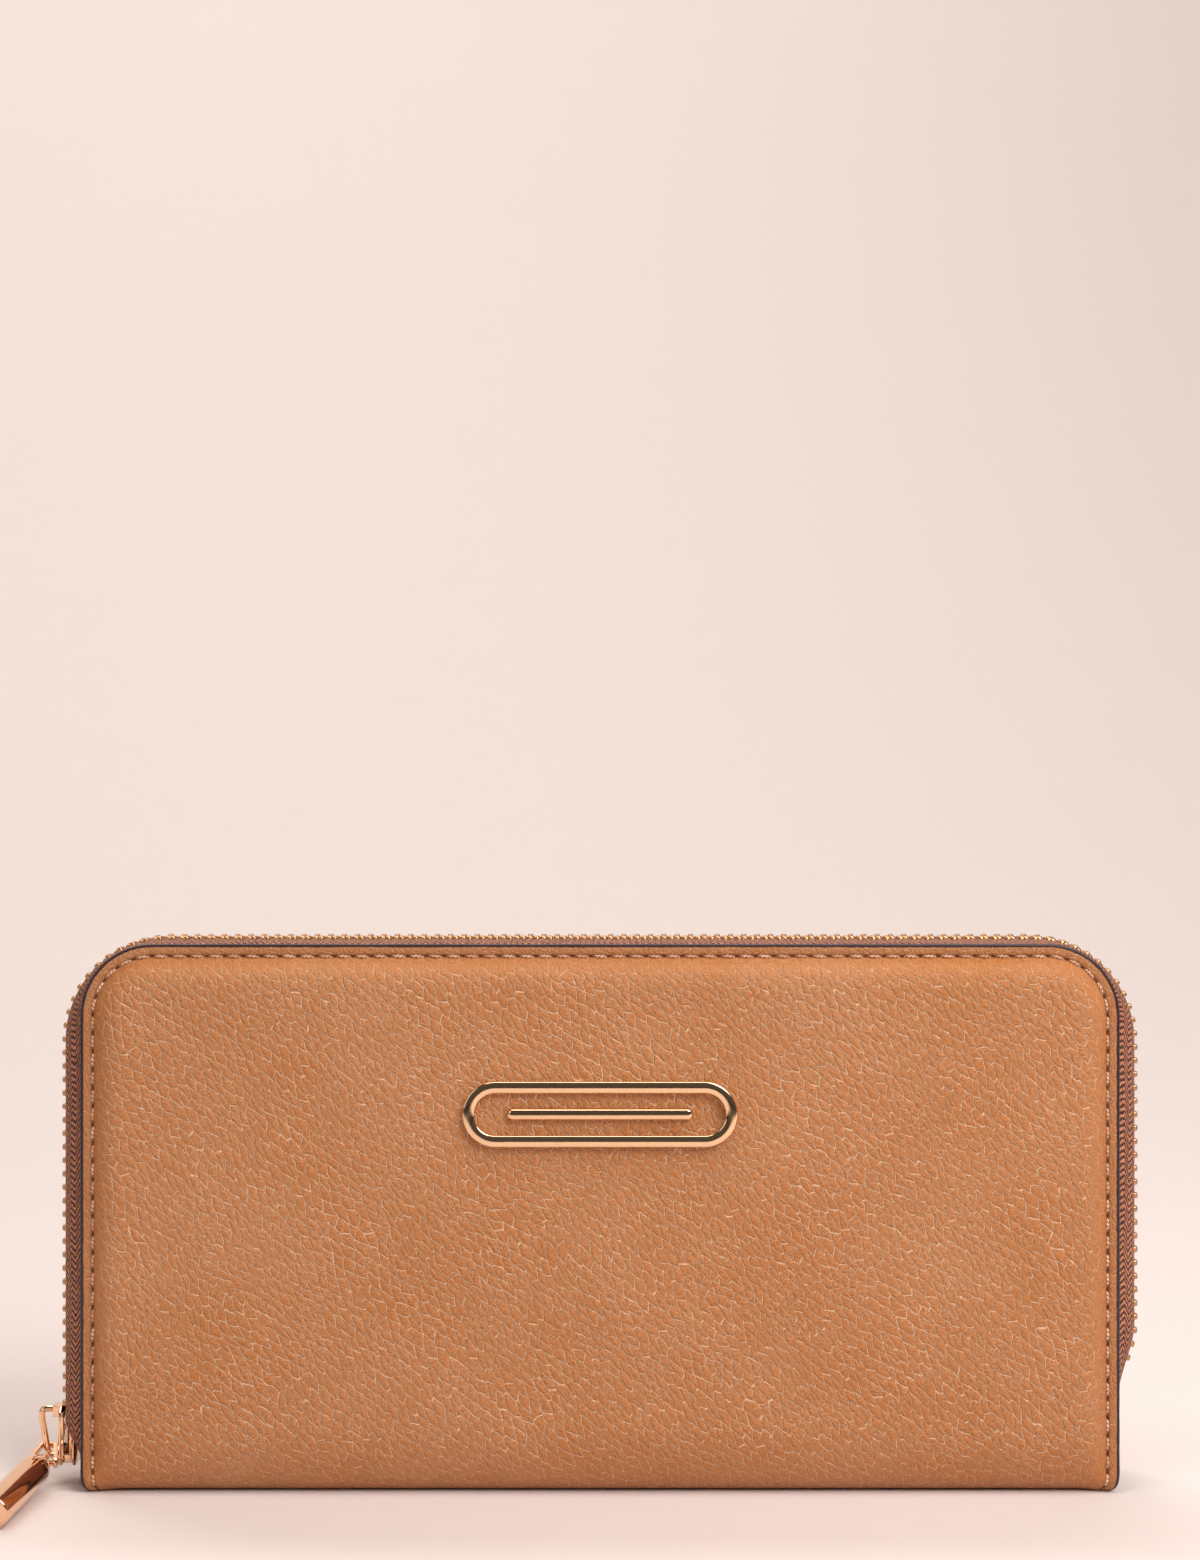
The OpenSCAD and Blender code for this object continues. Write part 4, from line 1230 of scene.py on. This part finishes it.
def coin_zip(side):
    """One half of the coin pocket's own zip, along the top of the middle wall."""
    name = SIDE_NAME[side]
    low, high = box_mm(f"coin_zip_{name}_teeth")
    row = Parts()
    z, scale = (low[2] + high[2]) / 2, (high[2] - low[2]) / TOOTH_TALL
    for k in range(math.floor((high[0] - low[0] - TOOTH_PITCH / 2) / TOOTH_PITCH) + 1):
        centre = (low[0] + COIN_FIRST + k * TOOTH_PITCH, 0, z)
        tooth(row, centre, (1, 0, 0), (0, 0, 1), side, rng.uniform(0, 1), scale, COIN_DEPTH)
    made = row.object(f"coin_{name}_teeth", TOOTH_GOLD)
    settle(made, "tooth_gold", "spine", f"coin_zip_{name}_teeth")
    dressed(f"coin_zip_{name}_tape", f"coin_{name}_tape", 0.1, TAPE, "zip_tape", "spine")


for side in (FRONT, BACK):
    name = SIDE_NAME[side]
    card_strips(side)
    dressed(f"{name}_lining", f"{name}_lining_cloth", 0.2, LINING, "lining", f"{name}_cover")
    dressed(f"coin_pocket_{name}_wall", f"coin_{name}_wall_cloth", 0.15, LINING, "lining", "spine")
    for hand in (-1, 1):
        gusset(side, hand)
dressed("spine_lining", "spine_lining_cloth", 0.15, LINING, "lining", "spine")
dressed("coin_pocket_binding", "coin_pocket_trim", 0.12, TRIM, "trim_leather", "spine")
dressed("coin_zip_stops", "coin_stops", 0.1, TOOTH_GOLD, "tooth_gold", "spine")
for side in (FRONT, BACK):
    coin_zip(side)

HIDDEN_PARTS = {"front_board": BOARD, "back_board": BOARD, "spine_board": BOARD, "emblem_washers": TOOTH_GOLD}
for node, material in HIDDEN_PARTS.items():
    for slot in frame["nodes"][node].material_slots:
        slot.material = material


# ---- Floor, light and camera ----

CAMERA_Y = -(0.45 + FACE_U * MM)
CAMERA_Z = 0.1307
# Between these two Y places, in metres, the pale paper fades into the painted-shade floor in front
PALE_TO_Y, DARK_FROM_Y = -0.34, -0.46


def paper_material(colour, dark):
    """Matte background paper, which runs out in front into painted shade: a dark floor that stands in for the
    unlit space on the camera side.
    """
    made, tree, shader = new_material("backdrop", Roughness=0.9, Specular_IOR_Level=0.1)
    y = add_node(tree, "ShaderNodeSeparateXYZ", {0: object_place(tree)}).outputs[1]
    share = add_node(tree, "ShaderNodeMapRange", {0: y, 1: DARK_FROM_Y, 2: PALE_TO_Y}).outputs[0]
    join_up(tree, shader, mixed(tree, share, dark, colour))
    return made


# Paper colour, then the painted shade on the floor in front
BACKDROP = paper_material(linear(225, 213, 208), linear(60, 52, 48))


def stage():
    """A sheet of background paper: floor, a wide slow bend, then the wall."""
    half, near, start, bend_l, rise = 3.0, -1.6, 0.15, 2.2, 1.6
    line = [(y, 0.0) for y in np.linspace(near, start, 12)]
    steps = 60
    for k in range(steps):
        t = (k + 0.5) / steps
        angle = math.pi / 2 * t * t * (3 - 2 * t)
        y, z = line[-1]
        line.append((y + bend_l / steps * math.cos(angle), z + bend_l / steps * math.sin(angle)))
    line.append((line[-1][0], line[-1][1] + rise))
    points = [(x / MM, y / MM, z / MM) for y, z in line for x in (-half, half)]
    paper = mesh_object("paper", points, grid_faces(len(line), 2), BACKDROP)


def softbox(name, place, aim, width, height, power, colour):
    lamp = bpy.data.lights.new(name, "AREA")
    lamp.shape = "RECTANGLE"
    lamp.size, lamp.size_y = width, height
    lamp.energy = power
    lamp.color = colour
    made = bpy.data.objects.new(name, lamp)
    bpy.context.scene.collection.objects.link(made)
    made.location = place
    made.rotation_euler = (Vector(aim) - Vector(place)).to_track_quat("-Z", "Y").to_euler()


WARM = (1, 0.97, 0.95)
# Name, place, aim, width, height, power and colour
SOFTBOXES = (("key", (0.38, -0.43, 0.54), (0.02, 0, 0.08), 0.45, 0.4, 4.7, WARM),
             ("left fill", (-0.95, -0.70, 0.50), (0, 0, 0.05), 0.5, 0.8, 2.2, WARM),
             ("overhead", (0.05, -0.30, 1.25), (0, 0, 0), 1.1, 0.45, 6.7, (1, 0.97, 0.94)),
             ("backdrop light", (-0.5, 0.75, 2.1), (-0.3, 1.9, 0.9), 2.2, 0.6, 39.0, (1, 0.965, 0.935)))


def lights():
    for settings in SOFTBOXES:
        softbox(*settings)
    world = bpy.data.worlds.new("studio")
    bpy.context.scene.world = world
    world.use_nodes = True
    glow = world.node_tree.nodes["Background"].inputs
    glow[0].default_value, glow[1].default_value = (1.0, 0.95, 0.92, 1), 0.09


def camera():
    data = bpy.data.cameras.new("camera")
    data.sensor_width = 36
    data.lens = 56.74
    made = bpy.data.objects.new("camera", data)
    bpy.context.scene.collection.objects.link(made)
    made.location = (0, CAMERA_Y, CAMERA_Z)
    made.rotation_euler = (math.pi / 2, 0, 0)
    bpy.context.scene.camera = made


stage()
lights()
camera()
bpy.context.scene.view_settings.view_transform = "Standard"
